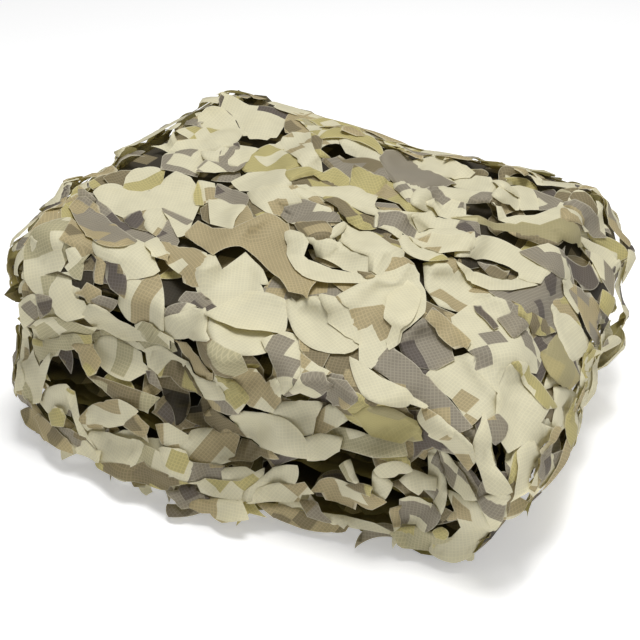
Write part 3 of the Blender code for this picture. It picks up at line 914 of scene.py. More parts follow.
def front_shift(x):
    """How far the lowest layers lie forward of the straight front line at a place along X."""
    if x <= FRONT_LINE[0].x:
        return FRONT_LINE[0].forward
    for before, after in zip(FRONT_LINE, FRONT_LINE[1:]):
        if x <= after.x:
            share = (x - before.x) / (after.x - before.x)
            return before.forward + (after.forward - before.forward) * share * share * (3 - 2 * share)
    return FRONT_LINE[-1].forward


def reached(distance, reach):
    """0 before the reach's start, 1 past its end."""
    return min(1.0, max(0.0, distance - reach.start) / reach.length)


def swell(x, y):
    """The top's long uneven swells."""
    across = math.sin(BROAD_RATES[0] * x + BROAD_STARTS[0])
    along = math.cos(BROAD_RATES[1] * y + BROAD_STARTS[1])
    narrow = NARROW_SWELL * math.sin(NARROW_RATES[1] * y - NARROW_RATES[0] * x)
    return BROAD_SWELL * across * along + narrow


def bundle_form(point):
    """The whole bundle's smooth unevenness. It leaves the lowest layer flat and keeps the layers apart."""
    x, y, z = point
    floor = CLOTH / 2
    share = max(0.0, z - floor) / LAYERS[1].height
    front = reached(-y, FRONT_REACH)
    back = reached(y, BACK_REACH)
    left = reached(-x, LEFT_REACH)
    right = reached(x, RIGHT_REACH)
    sink = (FRONT_SINK * front ** 2 + RIGHT_SINK * right ** 2 - BACK_PEAK * back * left) * share
    fall = TOP_FALL * (x - FALL_START) / FALL_RUN
    squeeze = 1.0 - (fall + sink - swell(x, y)) / LAYERS[1].height
    taper = BACK_TAPER * back * left * share ** 2
    taper -= LOW_TAPER * right * max(0.0, 1.0 - LOW_TAPER_RATE * share)
    forward = front_shift(x) * (1.0 - share) * front
    height = floor + max(0.0, z - floor) * squeeze
    return Vector((x + taper, y - forward, height)) + BUNDLE_SHIFT


def cloth_point(column, row):
    """A point of the folded cloth. Rows below zero belong to the part that comes down over the front."""
    base = path_point(column)
    normal = path_normal(column)
    beyond = max(0.0, -row * CELL)
    turn = min(beyond / APRON_ROLL, math.pi / 2)
    depth = APRON_ROLL * (1.0 - math.cos(turn)) + max(0.0, beyond - APRON_ROLL * math.pi / 2)
    y = -CLOTH_DEPTH / 2 + max(row, 0.0) * CELL - APRON_ROLL * math.sin(turn)
    wave = 0.0
    if base.z >= CLOTH:
        wave = LAYER_WAVE * noise.noise(Vector((base.x, y, base.z)) * LAYER_WAVE_RATES)
    return base - normal * (depth - wave) + Vector((0.0, y, 0.0))


PLY_OFFSETS = (-0.0032, 0.0, 0.0030)       # of the core's plies from each layer's middle
FLOOR_OFFSET = 0.1           # share of that offset that is left between the plies on the floor
PLY_STEP = 0.2               # of a cell, between the core's points
PHASES = 6                   # range of the number that shifts a ply's scallops and ruffles
SCALLOP_RATE = 0.4
FRONT_END, FRONT_SCALLOP = -0.05, 0.22     # in rows, where a ply ends at the front, and its scallops' depth
APRON_END = -0.30            # the same for the part that comes down over the front
BACK_END, BACK_SCALLOP = 0.05, 0.30        # the same at the back, past the last row
EDGE_RUFFLE = 0.006
EDGE_NEARNESS = 9            # the ruffle ends at one part in so many of a ply's width
RUFFLE_RATES = (2.2, 0.5)    # along the edge and across it
# The plies take the near-black and darkened tan tones: painted shade for the deep core of the bundle.
PLY_SHADE_INK = Print("shade", "shaded_tan", 0.25, 0.0)
UNREAD = 0.5                 # a colour's fourth number, which the material doesn't read


def core_ply(cloth, offset, turn, draw):
    """One thin ply of the folded cloth, its free edges scalloped and ruffled."""
    columns = int(COLUMNS / PLY_STEP) + 1
    rows = int(CELL_ROWS / PLY_STEP) + 1
    phase = draw.uniform(0, PHASES)
    points, places = [], []
    for i in range(columns):
        column = i * PLY_STEP
        uneven = 2 * noise.noise(Vector((column * SCALLOP_RATE, phase, 0)))
        wave = 0.5 + 0.5 * math.sin(column * 2 * math.pi + phase + uneven)
        on_apron = column <= RUN_COLUMNS + FOLDS[0].columns
        front = APRON_END if on_apron else FRONT_END - FRONT_SCALLOP * wave
        back = CELL_ROWS + BACK_END + BACK_SCALLOP * wave
        for j in range(rows):
            share = j / (rows - 1)
            row = front + (back - front) * share
            point = cloth_point(column, row)
            edge = max(0.0, 1 - min(share, 1 - share) * EDGE_NEARNESS)
            place = Vector((column * RUFFLE_RATES[0], row * RUFFLE_RATES[1], phase))
            point += path_normal(column) * (offset + EDGE_RUFFLE * edge * noise.noise(place))
            point = bundle_form(point)
            point.z = max(point.z, PLY_GAP + offset * FLOOR_OFFSET)
            points.append(tuple(point))
            places.append((column * CELL / PRINT_BLOCK, row * CELL / PRINT_BLOCK + turn * PRINT_RANGE))
    faces = [[i * rows + j, (i + 1) * rows + j, (i + 1) * rows + j + 1, i * rows + j + 1]
             for i in range(columns - 1) for j in range(rows - 1)]
    facts = (tone_value(PLY_SHADE_INK.main), tone_value(PLY_SHADE_INK.other), PLY_SHADE_INK.share, UNREAD)
    cloth.add(points, faces, places, facts, [0.0] * len(points))


# ---------------------------------------------------------------- leaves that show in the photograph
# Outlines are in the photograph's pixels: the bundle's own, the hollows between its folds, and the leaves'.
# A row a leaf, from the lowest to the topmost: its print's main tone, other tone and that one's share; the
# way that its tip points in the picture in degrees, clockwise from the right, and how far it stands up there
# in mm; the way across its curl, and how far its sides curl down in mm; and its outline.
# Rows in the darkened tan and near-black tones are painted shade, for the shadow in the gaps and slits
# between the leaves.
Leaf = namedtuple("Leaf", "main other share tip_way tip curl_way curl outline")
PICTURE_EDGE = (
    (225, 88), (246, 99), (292, 112), (321, 114), (334, 126), (352, 125), (384, 152), (412, 158),
    (450, 158), (474, 172), (500, 178), (528, 180), (540, 190), (578, 199), (596, 214), (612, 236),
    (628, 250), (616, 264), (614, 290), (610, 312), (602, 326), (598, 350), (594, 372), (582, 392),
    (580, 410), (562, 432), (545, 450), (534, 470), (540, 489), (520, 512), (506, 520), (494, 540),
    (478, 563), (450, 566), (424, 548), (392, 537), (340, 530), (300, 528), (262, 508), (246, 520),
    (215, 522), (170, 506), (120, 484), (76, 458), (44, 440), (22, 410), (12, 394), (12, 360),
    (14, 326), (20, 300), (20, 262), (30, 230), (52, 200), (78, 186), (97, 187), (124, 186),
    (130, 172), (165, 168), (164, 154), (174, 144), (190, 139), (177, 131), (200, 124), (202, 108),
    (221, 104))
HOLLOWS = (
    ((226, 112), (240, 116), (250, 134), (240, 134), (232, 122)),
    ((228, 134), (248, 139, -.1), (276, 134), (284, 140), (262, 150, .1), (234, 144)),
    ((194, 171), (215, 172), (240, 168), (252, 170), (232, 181), (205, 182), (196, 178)),
    ((320, 150), (346, 147, .05), (378, 156), (375, 160, -.1), (348, 157), (328, 161)),
    ((372, 196), (392, 200), (404, 203), (396, 210), (378, 207), (373, 202)),
    ((446, 176), (460, 170, .1), (476, 173), (484, 178), (462, 177)),
    ((503, 208), (520, 209), (536, 208), (535, 215), (515, 213), (505, 211)),
    ((583, 237), (594, 240), (596, 246), (585, 243)),
    ((600, 245), (612, 241), (617, 252), (612, 259), (608, 249)),
    ((558, 250), (580, 257), (590, 262), (586, 268), (570, 262)),
    ((572, 262), (580, 268), (600, 284), (612, 300), (606, 303), (590, 296), (576, 278)),
    ((556, 300), (574, 320), (590, 342), (592, 350), (580, 338), (566, 318)),
    ((541, 409), (553, 405), (557, 414), (552, 428), (543, 421)),
    ((454, 250), (458, 257), (482, 257), (505, 263), (520, 272), (505, 280), (480, 275), (460, 268),
     (456, 260)),
    ((468, 228), (500, 229), (530, 232), (548, 243), (535, 250), (512, 244), (492, 236), (474, 236)),
    ((62, 262), (75, 250), (98, 255), (112, 268), (122, 274), (117, 300), (95, 300), (72, 290)),
    ((104, 208), (126, 215), (150, 208), (140, 215), (128, 220), (112, 220)),
    ((176, 236), (188, 238), (196, 246), (186, 246)),
    ((222, 248), (240, 244), (262, 262), (252, 262), (244, 256), (224, 270)),
    ((258, 282), (272, 282), (264, 292)),
    ((160, 336), (212, 338), (210, 348), (220, 366), (228, 376), (214, 386), (190, 376), (170, 352)),
    ((236, 350), (268, 348), (284, 386), (262, 392), (246, 372)),
    ((178, 276), (200, 280), (205, 292), (186, 294)),
    ((36, 324), (40, 314), (52, 314), (60, 320)),
    ((40, 356), (62, 356), (84, 372), (88, 388), (110, 396), (160, 394), (172, 402), (188, 420),
     (160, 436), (128, 420), (96, 412), (78, 412), (62, 384), (48, 378)),
    ((160, 398), (196, 404), (224, 428), (212, 434), (190, 430), (160, 425)),
    ((110, 374), (140, 374), (146, 388), (124, 392)),
    ((222, 456), (262, 454), (284, 456), (318, 460), (336, 470), (318, 490), (300, 484), (258, 470),
     (240, 468)),
    ((300, 400), (326, 398), (324, 406), (300, 406)),
    ((350, 462), (362, 466), (378, 478), (374, 500), (358, 484)),
    ((326, 474), (345, 486), (330, 484)),
    ((366, 430), (382, 430), (400, 440), (376, 437)),
    ((318, 500), (345, 500), (384, 512), (378, 522), (350, 516), (320, 512)),
    ((406, 456), (434, 460), (432, 478), (416, 474)),
    ((386, 486), (410, 482), (428, 496), (410, 500), (392, 510)),
    ((426, 506), (446, 512), (462, 542), (440, 546), (428, 534)),
    ((24, 404), (44, 396), (62, 412), (86, 446), (60, 440), (36, 424)),
    ((300, 330), (322, 350), (318, 366), (302, 352)),
)
LEAVES = [Leaf(*row) for row in (
    # the far top edge, from the left
    ("cream", "dark", .20, 270, 4, 0, 2, ((221, 108), (220, 99), (225, 88, .05), (246, 101),
     (292, 113), (284, 124), (276, 137), (250, 138), (238, 120))),
    ("tan", "shaded_tan", .20, 270, 2, 0, 2, ((286, 132, .85), (321, 115), (309, 122), (312, 133))),
    ("cream", "olive", .10, 270, 3, 0, 1, ((308, 122), (321, 115, .15), (333, 127), (322, 139),
     (311, 133))),
    ("cream", "dark", .18, 250, 4, 0, -2, ((199, 125), (201, 110, .1), (212, 106, .25), (236, 122, .1),
     (247, 135), (226, 134))),
    ("olive", "cream", .20, 180, 3, 90, -2, ((177, 131, .1), (203, 127), (202, 132), (192, 140),
     (187, 136))),
    ("cream", "olive", .30, 180, 3, 90, 2, ((188, 141), (202, 129, .15), (228, 124, .1), (242, 134),
     (236, 142, .1), (205, 146))),
    ("cream", "tan", .25, 180, 3, 90, 1, ((172, 145, .05), (190, 140), (222, 139), (238, 144),
     (221, 149, .1), (178, 149))),
    ("cream", "tan", .15, 90, 3, 0, 1, ((276, 143), (292, 133), (312, 133), (316, 150, .1), (322, 166),
     (304, 167), (296, 156))),
    ("olive", "shaded_tan", .50, 200, 2, 30, 2, ((311, 133), (322, 139), (320, 150), (332, 160),
     (322, 158, .2))),
    ("olive", "olive", .00, 270, 5, 0, -2, ((319, 138, .22), (350, 125, .25), (384, 155, -.24))),
    ("grey", "shaded_tan", .40, 90, 3, 0, 2, ((322, 162), (348, 157, .1), (380, 162, .05), (392, 180),
     (378, 180), (354, 172), (350, 181), (338, 172))),
    ("grey", "cream", .10, 90, 3, 0, 2, ((380, 158), (386, 151, .1), (398, 152, .1), (412, 161),
     (432, 172), (456, 182), (444, 187), (424, 188), (404, 183), (392, 182), (386, 170))),
    ("cream", "cream", .00, 300, 3, 0, 2, ((410, 160), (424, 159, .15), (448, 159, .1), (473, 173),
     (446, 177), (431, 178), (430, 171))),
    ("cream", "cream", .00, 90, 3, 0, 2, ((446, 180), (462, 177), (484, 178), (496, 182), (498, 192),
     (478, 192), (464, 190))),
    ("olive", "olive", .00, 300, 4, 0, 2, ((502, 181), (512, 178, .05), (527, 180, .2), (537, 190),
     (526, 187), (512, 182))),
    ("grey", "cream", .10, 60, 3, 0, 1, ((533, 190), (545, 195), (562, 201), (548, 208), (538, 209))),
    ("tan", "shaded_tan", .50, 90, 2, 0, 0, ((491, 195), (505, 203), (519, 208), (503, 211), (496, 209, .2))),
    ("cream", "cream", .00, 90, 4, 0, 1, ((492, 195), (500, 187), (520, 197), (518, 207), (505, 204))),
    ("cream", "cream", .00, 60, 4, 90, 2, ((506, 184), (520, 185), (532, 190, .15), (538, 208),
     (520, 208), (519, 196))),
    ("cream", "cream", .00, 90, 3, 30, 1, ((492, 178), (502, 180), (518, 187), (520, 196), (500, 186))),
    ("cream", "cream", .00, 90, 4, 0, -1, ((490, 196), (496, 209, -.15), (535, 216, -.1), (560, 203),
     (575, 207), (580, 215), (560, 218), (540, 225, .15), (505, 217, .1))),
    ("tan", "grey", .50, 0, 4, 45, 2, ((562, 203), (575, 200, .1), (590, 208), (604, 224, .1),
     (611, 233), (596, 236), (588, 223), (576, 209))),
    ("cream", "tan", .20, 90, 3, 30, 1, ((561, 206), (577, 210), (590, 223), (593, 229), (578, 222),
     (562, 219))),
    ("olive", "cream", .30, 0, 5, 60, 3, ((581, 224), (596, 232), (612, 238), (624, 246, .25),
     (628, 256), (616, 262), (604, 252), (592, 240))),
    ("cream", "cream", .00, 45, 3, 0, 1, ((582, 236), (596, 244), (608, 250), (618, 262), (612, 268),
     (598, 258), (586, 246))),
    # the top's left half
    ("cream", "grey", .40, 200, 3, 90, 1, ((162, 168), (164, 156, .3), (184, 148, .1), (202, 150),
     (203, 163), (197, 176), (182, 172))),
    ("cream", "cream", .00, 0, 2, 90, -2, ((201, 151), (222, 149), (228, 146), (226, 160), (214, 163),
     (204, 158))),
    ("grey", "dark", .40, 90, 2, 0, -3, ((222, 146), (238, 143), (240, 150), (232, 160), (222, 163),
     (221, 152))),
    ("cream", "cream", .00, 90, 3, 0, -2, ((238, 146), (258, 149, -.1), (247, 158), (232, 161),
     (232, 152))),
    ("grey", "cream", .30, 90, 4, 0, -2, ((196, 170), (206, 160), (225, 160), (246, 158), (236, 166),
     (215, 171))),
    ("shaded_tan", "grey", .30, 90, 2, 0, 0, ((222, 174), (238, 170), (240, 176), (230, 181), (212, 180))),
    ("olive", "cream", .30, 90, 4, 0, 3, ((240, 165), (258, 150), (270, 144, .12), (285, 147, .1),
     (303, 165), (285, 171), (262, 171), (245, 171))),
    ("cream", "cream", .00, 90, 3, 0, 1, ((232, 181), (248, 172), (285, 170), (293, 180),
     (290, 187, .1), (262, 190), (240, 190))),
    ("shaded_tan", "olive", .50, 90, 1, 0, 1, ((288, 180), (322, 174), (345, 183), (330, 187), (300, 187))),
    ("olive", "olive", .00, 90, 5, 0, 3, ((284, 172), (300, 168), (322, 166, .2), (338, 170, .1),
     (352, 185), (340, 184), (328, 175, -.15), (290, 181))),
    ("olive", "shaded_tan", .20, 90, 3, 0, 1, ((354, 165), (381, 178), (377, 191), (350, 182))),
    ("cream", "olive", .20, 180, 2, 0, 2, ((124, 188), (127, 177, .3), (142, 169, .2), (164, 171),
     (160, 186), (140, 192))),
    ("cream", "grey", .20, 270, 2, 0, 1, ((97, 189, .3), (124, 188), (110, 196))),
    ("cream", "cream", .00, 90, 6, 30, 2, ((94, 192), (100, 187), (125, 189, -.15), (150, 192),
     (164, 180), (176, 172), (190, 178), (197, 188), (199, 204), (192, 220), (170, 211), (160, 207),
     (150, 207), (126, 215, -.03), (104, 207))),
    ("tan", "shaded_tan", .30, 200, 3, 60, 1, ((23, 242), (55, 200, .1), (62, 219), (38, 227), (26, 244))),
    ("cream", "olive", .40, 200, 3, 60, 1, ((62, 219), (62, 205, .1), (70, 192), (79, 186), (77, 200),
     (74, 218))),
    ("tan", "grey", .30, 270, 2, 60, 1, ((77, 200), (79, 186), (84, 190), (96, 200), (84, 202))),
    ("dark", "grey", .35, 90, 3, 30, 1, ((96, 200), (112, 210), (120, 219), (135, 225), (147, 228),
     (157, 241), (140, 247), (128, 238), (112, 220), (100, 214))),
    ("shaded_tan", "dark", .30, 90, 1, 0, 1, ((124, 216), (140, 211), (152, 230), (130, 226))),
    ("cream", "tan", .40, 90, 4, 30, 1, ((140, 212), (152, 208, .1), (168, 212, .1), (176, 220),
     (160, 236), (148, 228))),
    ("grey", "dark", .40, 90, 3, 30, 1, ((158, 234), (170, 218), (178, 240), (174, 246), (166, 240))),
    ("cream", "grey", .20, 90, 3, 30, 1, ((162, 208), (192, 220), (186, 232), (178, 234), (170, 218))),
    ("cream", "sage", .45, 180, 4, 60, 3, ((70, 218, .1), (38, 227, .25), (20, 258, .3),
     (28, 286, .25), (48, 296), (54, 270), (58, 262))),
    ("tan", "shaded_tan", .25, 200, 4, 30, 2, ((60, 240), (72, 219), (82, 230), (92, 240), (93, 255, .2))),
    ("tan", "cream", .15, 90, 4, 30, 2, ((158, 246), (164, 239), (178, 246), (192, 248), (206, 254),
     (210, 276, .15), (190, 282, .25))),
    ("cream", "cream", .00, 90, 5, 30, 2, ((90, 242), (96, 241), (136, 240), (150, 246), (158, 266),
     (152, 270, .12), (125, 272, .25), (100, 264, .2))),
    ("cream", "tan", .20, 90, 5, 30, 1, ((144, 244), (158, 236), (168, 252), (160, 260), (152, 250))),
    ("grey", "tan", .35, 120, 6, 30, 2, ((70, 199), (84, 197), (104, 212), (118, 228), (137, 241, .12),
     (112, 245, .25), (86, 232, .15))),
    # the top's middle
    ("grey", "dark", .35, 90, 3, 0, -4, ((218, 184, .1), (224, 186), (248, 196), (246, 205),
     (230, 201), (215, 194))),
    ("cream", "tan", .15, 90, 2, 0, 0, ((199, 181), (214, 184), (216, 196), (230, 203), (210, 200),
     (202, 203))),
    ("olive", "olive", .00, 0, 3, 0, -2, ((198, 182), (203, 203), (196, 203, .1), (195, 192))),
    ("shaded_tan", "shaded_tan", .00, 90, 2, 0, 0, ((201, 209), (209, 203), (212, 224), (203, 219))),
    ("shaded_tan", "olive", .20, 90, 2, 0, 0, ((249, 200), (270, 211), (257, 219, .1))),
    ("tan", "shaded_tan", .30, 90, 3, 45, 1, ((232, 222), (247, 206, .1), (254, 224), (238, 228))),
    ("cream", "cream", .00, 90, 4, 0, -2, ((209, 198), (247, 206, -.15), (234, 220), (232, 228),
     (211, 223))),
    ("cream", "cream", .00, 90, 4, 0, 1, ((292, 186), (335, 186), (350, 184), (377, 192), (374, 203),
     (377, 212), (352, 208), (342, 203), (322, 196))),
    ("tan", "cream", .20, 90, 3, 0, 1, ((286, 190), (294, 185), (314, 192), (324, 204), (300, 198))),
    ("cream", "tan", .10, 90, 5, 0, 2, ((248, 193), (262, 187, .05), (288, 187), (300, 198),
     (284, 216), (266, 211), (253, 202))),
    ("grey", "cream", .12, 90, 5, 0, 1, ((300, 198), (316, 204), (338, 212), (340, 221), (320, 221),
     (306, 222), (293, 222), (282, 215))),
    ("shaded_tan", "shade", .50, 90, 1, 0, 0, ((340, 206), (352, 212), (378, 222), (392, 232), (388, 237),
     (366, 226), (350, 215))),
    ("olive", "shaded_tan", .30, 90, 4, 30, -2, ((322, 197, .1), (340, 199, .1), (356, 212), (376, 224),
     (370, 226), (350, 214), (340, 207))),
    ("cream", "olive", .10, 90, 5, 60, -1, ((352, 204), (378, 210), (376, 219, .05), (362, 212))),
    ("shaded_tan", "tan", .40, 90, 4, 0, -2, ((294, 221), (308, 222), (325, 221), (334, 232, .2),
     (328, 240, .2), (312, 238), (298, 229))),
    ("cream", "cream", .00, 200, 4, 45, -1, ((331, 240), (334, 228, .1), (345, 222), (352, 224))),
    ("tan", "grey", .30, 90, 2, 0, 1, ((374, 203), (395, 205), (403, 213), (385, 212))),
    ("olive", "tan", .25, 90, 5, 30, 2, ((373, 194), (379, 181), (390, 183, .05), (408, 197),
     (440, 213), (430, 217), (412, 216), (400, 203), (388, 199))),
    ("cream", "grey", .15, 90, 3, 0, 1, ((392, 184), (402, 181), (425, 188), (413, 193), (410, 203),
     (398, 190))),
    ("cream", "grey", .20, 90, 4, 0, 1, ((410, 203), (414, 191), (426, 189), (444, 187), (470, 192),
     (492, 193), (490, 206), (470, 205), (440, 202), (432, 199), (424, 203), (446, 211), (430, 213))),
    ("cream", "grey", .30, 90, 5, 0, 1, ((424, 203), (434, 200, .1), (452, 202), (476, 213),
     (486, 222), (455, 219), (445, 212))),
    ("grey", "cream", .15, 90, 4, 0, 2, ((450, 213), (480, 210), (500, 219), (540, 226), (560, 219),
     (576, 222), (584, 245), (566, 242), (545, 234), (520, 229), (495, 226), (476, 222))),
    ("shaded_tan", "tan", .50, 90, 2, 0, 0, ((508, 229), (525, 229), (545, 236), (562, 242), (545, 246),
     (528, 238))),
    ("cream", "grey", .30, 90, 4, 0, 1, ((378, 210), (400, 212), (438, 216), (420, 224), (417, 240),
     (402, 232), (400, 238), (392, 232), (377, 222))),
    ("cream", "tan", .40, 90, 3, 0, 1, ((412, 216), (440, 214), (460, 220), (456, 229), (440, 228),
     (420, 224))),
    ("dark", "grey", .30, 90, 2, 0, 0, ((461, 219), (478, 222), (480, 238), (470, 236), (456, 229))),
    ("cream", "cream", .00, 90, 6, 0, 2, ((418, 229), (440, 229), (458, 229), (476, 238), (474, 246),
     (455, 250), (440, 249), (428, 243), (417, 238))),
    # the middle of the top, down to the front edge
    ("grey", "tan", .35, 90, 3, 0, 1, ((263, 290), (281, 270), (299, 294), (300, 300), (284, 302),
     (276, 294))),
    ("grey", "tan", .30, 90, 3, 0, 1, ((298, 297), (316, 277), (331, 278), (347, 291), (338, 298),
     (318, 294, .1))),
    ("tan", "cream", .15, 90, 3, 0, 1, ((330, 280), (360, 279), (346, 292))),
    ("tan", "tan", .00, 45, 6, 315, 2, ((184, 233), (198, 221), (212, 229), (232, 229),
     (252, 220, .05), (268, 213), (287, 222, .12), (289, 250, .05), (304, 268), (319, 277), (298, 298),
     (280, 277, .1), (262, 261, -.15), (240, 245, -.2), (213, 254))),
    ("tan", "grey", .30, 45, 5, 0, 2, ((309, 250), (325, 256), (346, 267), (330, 266), (314, 259))),
    ("cream", "cream", .00, 100, 6, 20, 3, ((204, 256), (214, 255), (222, 271), (246, 253), (262, 270),
     (268, 284), (259, 283), (263, 291), (250, 300, .1), (224, 307, .3), (197, 290, .35))),
    ("dark", "grey", .45, 90, 3, 0, 1, ((178, 298), (185, 290), (198, 289), (212, 302), (218, 308),
     (204, 308), (194, 301))),
    ("grey", "cream", .30, 90, 2, 0, 1, ((163, 318), (168, 307, .1), (186, 300), (197, 302), (180, 312))),
    ("cream", "cream", .00, 90, 3, 0, 2, ((162, 320), (185, 308), (201, 302), (207, 314), (205, 332),
     (210, 341), (188, 339), (164, 339))),
    ("cream", "grey", .15, 90, 6, 0, 3, ((205, 312), (222, 318), (242, 325), (264, 326, .1),
     (282, 334), (281, 346), (266, 352, .1), (238, 354, .3), (206, 332, .1))),
    ("cream", "cream", .00, 100, 5, 0, 2, ((204, 313), (222, 303), (242, 294, .1), (263, 293, .12),
     (285, 302, .1), (284, 331), (262, 327), (236, 325), (218, 319))),
    ("cream", "grey", .15, 90, 6, 0, 4, ((262, 340), (281, 331, .1), (297, 337, .2), (304, 356, .1),
     (299, 378, .1), (284, 396, .05), (277, 372), (268, 352))),
    ("tan", "shaded_tan", .40, 90, 3, 0, 2, ((298, 328), (311, 338), (330, 351), (322, 366), (310, 360),
     (301, 348))),
    ("tan", "cream", .25, 90, 2, 0, 2, ((301, 353), (318, 365), (332, 372), (318, 376), (302, 371))),
    ("cream", "cream", .00, 45, 6, 45, 3, ((285, 301), (302, 299), (318, 296, .15), (328, 318),
     (345, 332), (362, 342), (352, 349, .15), (322, 349, .3), (291, 322, .1))),
    ("cream", "tan", .35, 45, 5, 45, 2, ((319, 294), (337, 298, .1), (352, 312, .2), (361, 339),
     (345, 331), (328, 318))),
    ("cream", "tan", .10, 45, 5, 0, 2, ((304, 232), (330, 240), (352, 247), (378, 262), (401, 271),
     (378, 278), (352, 269), (330, 257), (306, 242))),
    ("cream", "cream", .00, 90, 5, 30, 2, ((340, 240), (352, 224), (372, 232), (392, 246), (404, 251),
     (400, 262), (392, 273), (378, 263), (354, 250))),
    ("cream", "cream", .00, 100, 7, 45, 2, ((286, 230, .05), (303, 234), (308, 250, -.1), (326, 263),
     (352, 271), (378, 276), (362, 282), (330, 281, .15), (296, 268, .2))),
    ("shaded_tan", "tan", .40, 90, 3, 0, 1, ((357, 266), (373, 266), (379, 273), (366, 277))),
    # the big fold: the smooth cream cloth right of the middle, and the long strip
    ("cream", "tan", .10, 100, 4, 0, 2, ((336, 297), (358, 285), (380, 271), (400, 256, .1),
     (413, 264), (424, 290, .1), (424, 312), (404, 332), (384, 352), (371, 364), (360, 358),
     (360, 340), (352, 310))),
    ("cream", "tan", .20, 60, 4, 0, 1, ((424, 264), (452, 258), (470, 272), (500, 291), (496, 298),
     (474, 301), (486, 322), (462, 312), (440, 306), (426, 288))),
    ("cream", "cream", .00, 130, 5, 45, 2, ((388, 297, -.1), (382, 318), (390, 340), (408, 326, .1),
     (420, 296, .15), (408, 276, .1))),
    ("grey", "dark", .30, 60, 4, 0, 1, ((487, 289), (508, 292), (526, 285), (540, 279), (552, 268),
     (571, 282, .1), (572, 304), (566, 320), (556, 331), (540, 322), (518, 306), (500, 298))),
    ("cream", "cream", .00, 60, 5, 0, 1, ((457, 262), (470, 270), (490, 277), (512, 280), (520, 274),
     (537, 284), (512, 289), (490, 289), (472, 282))),
    ("cream", "cream", .00, 45, 6, 30, 2, ((455, 256), (458, 244, .1), (476, 236, .1), (500, 240, .1),
     (530, 258), (552, 270), (541, 281), (528, 279), (510, 266, -.1), (474, 256))),
    ("grey", "cream", .25, 60, 4, 0, 1, ((520, 252), (548, 243), (562, 251), (572, 263), (577, 282),
     (560, 276), (546, 267))),
    ("cream", "grey", .20, 60, 4, 0, 2, ((452, 318), (476, 300, .1), (498, 298, .1), (528, 314),
     (536, 338), (546, 356), (538, 371), (512, 362), (500, 391), (484, 372), (468, 352), (456, 335))),
    ("grey", "grey", .00, 60, 2, 0, 0, ((498, 318), (516, 304), (534, 320), (514, 338))),
    ("olive", "shaded_tan", .30, 60, 3, 0, 1, ((510, 300), (532, 313), (557, 330), (546, 334), (532, 324))),
    ("cream", "tan", .15, 60, 3, 0, 1, ((424, 376), (440, 362), (468, 354), (486, 374), (500, 392),
     (496, 430), (484, 412), (472, 424), (452, 398))),
    ("grey", "dark", .18, 45, 3, 0, 1, ((398, 341), (412, 328), (424, 318), (434, 326), (449, 343),
     (454, 359), (436, 368), (416, 366), (404, 356))),
    ("tan", "grey", .25, 45, 3, 0, 1, ((426, 318), (433, 308), (448, 320), (470, 340), (462, 348),
     (446, 338))),
    ("grey", "tan", .22, 45, 4, 0, 1, ((371, 364), (390, 341), (402, 354), (426, 373), (446, 395),
     (472, 424), (456, 433), (424, 410), (404, 392), (388, 376))),
    ("tan", "olive", .30, 60, 3, 0, 1, ((556, 300), (565, 296), (574, 314), (581, 327), (568, 320))),
    ("cream", "cream", .00, 70, 4, 0, 1, ((555, 302), (564, 310), (582, 330), (588, 352), (572, 361),
     (560, 338))),
    ("cream", "grey", .20, 70, 4, 0, 1, ((562, 277), (574, 280, .15), (580, 304), (578, 313),
     (570, 300))),
    ("grey", "tan", .35, 70, 4, 0, 2, ((570, 280), (585, 288), (598, 306), (602, 330), (597, 345),
     (588, 330), (578, 304))),
    ("grey", "cream", .20, 70, 4, 0, 1, ((586, 250), (601, 256), (614, 268), (613, 296), (602, 278),
     (594, 262))),
    ("olive", "olive", .00, 60, 4, 0, 1, ((603, 290), (614, 298, .2), (608, 315), (600, 308))),
    ("grey", "tan", .35, 60, 4, 0, 2, ((545, 350), (557, 335), (567, 352), (580, 378), (570, 389),
     (556, 378))),
    ("olive", "cream", .20, 60, 4, 0, 1, ((590, 342), (598, 356, .1), (594, 374, .1), (580, 390),
     (582, 372))),
    # the lower right
    ("cream", "grey", .30, 70, 4, 0, 2, ((554, 386), (570, 389), (580, 402, .15), (576, 420, .1),
     (562, 430), (552, 430), (556, 406))),
    ("cream", "cream", .00, 70, 5, 0, 2, ((498, 396), (512, 364), (524, 374), (540, 396), (549, 408),
     (540, 424), (556, 430), (540, 451), (525, 442), (508, 450), (496, 430))),
    ("olive", "cream", .20, 60, 4, 0, 2, ((511, 364), (524, 360), (536, 376), (557, 407), (548, 408),
     (532, 390))),
    ("grey", "tan", .35, 80, 3, 0, 1, ((498, 414), (512, 428), (500, 450), (490, 438), (488, 420))),
    ("shaded_tan", "olive", .40, 90, 3, 0, 1, ((517, 450), (520, 462), (516, 474), (520, 500), (510, 514),
     (507, 490))),
    ("cream", "grey", .15, 100, 6, 0, 2, ((519, 450, .1), (532, 440, .25), (543, 453, .1),
     (531, 472, -.2), (530, 486), (543, 489), (530, 502), (517, 513), (516, 490), (520, 466))),
    ("olive", "cream", .30, 90, 4, 0, 1, ((484, 412), (493, 444), (499, 463), (488, 448), (481, 424))),
    ("cream", "cream", .00, 100, 5, 0, 2, ((484, 414), (490, 434), (498, 462), (512, 492),
     (500, 497, .1), (487, 492), (478, 462), (474, 444))),
    ("cream", "grey", .20, 110, 5, 0, 1, ((478, 500), (490, 496), (512, 496), (506, 514), (494, 532),
     (486, 516))),
    ("cream", "tan", .10, 110, 5, 45, 2, ((447, 490), (470, 500), (480, 504), (488, 520), (494, 540),
     (478, 563, .2), (446, 564, .15), (424, 546), (436, 543), (452, 538), (462, 528), (456, 512))),
    ("grey", "cream", .35, 80, 5, 0, 2, ((438, 444), (450, 458), (464, 478), (476, 500), (464, 499),
     (450, 484), (442, 464))),
    ("cream", "grey", .45, 90, 5, 0, 2, ((434, 446), (440, 462, .1), (446, 494, .1), (441, 514, .15),
     (430, 490, .05))),
    ("cream", "tan", .15, 200, 6, 90, 4, ((449, 425), (458, 432), (472, 446), (476, 460), (468, 470),
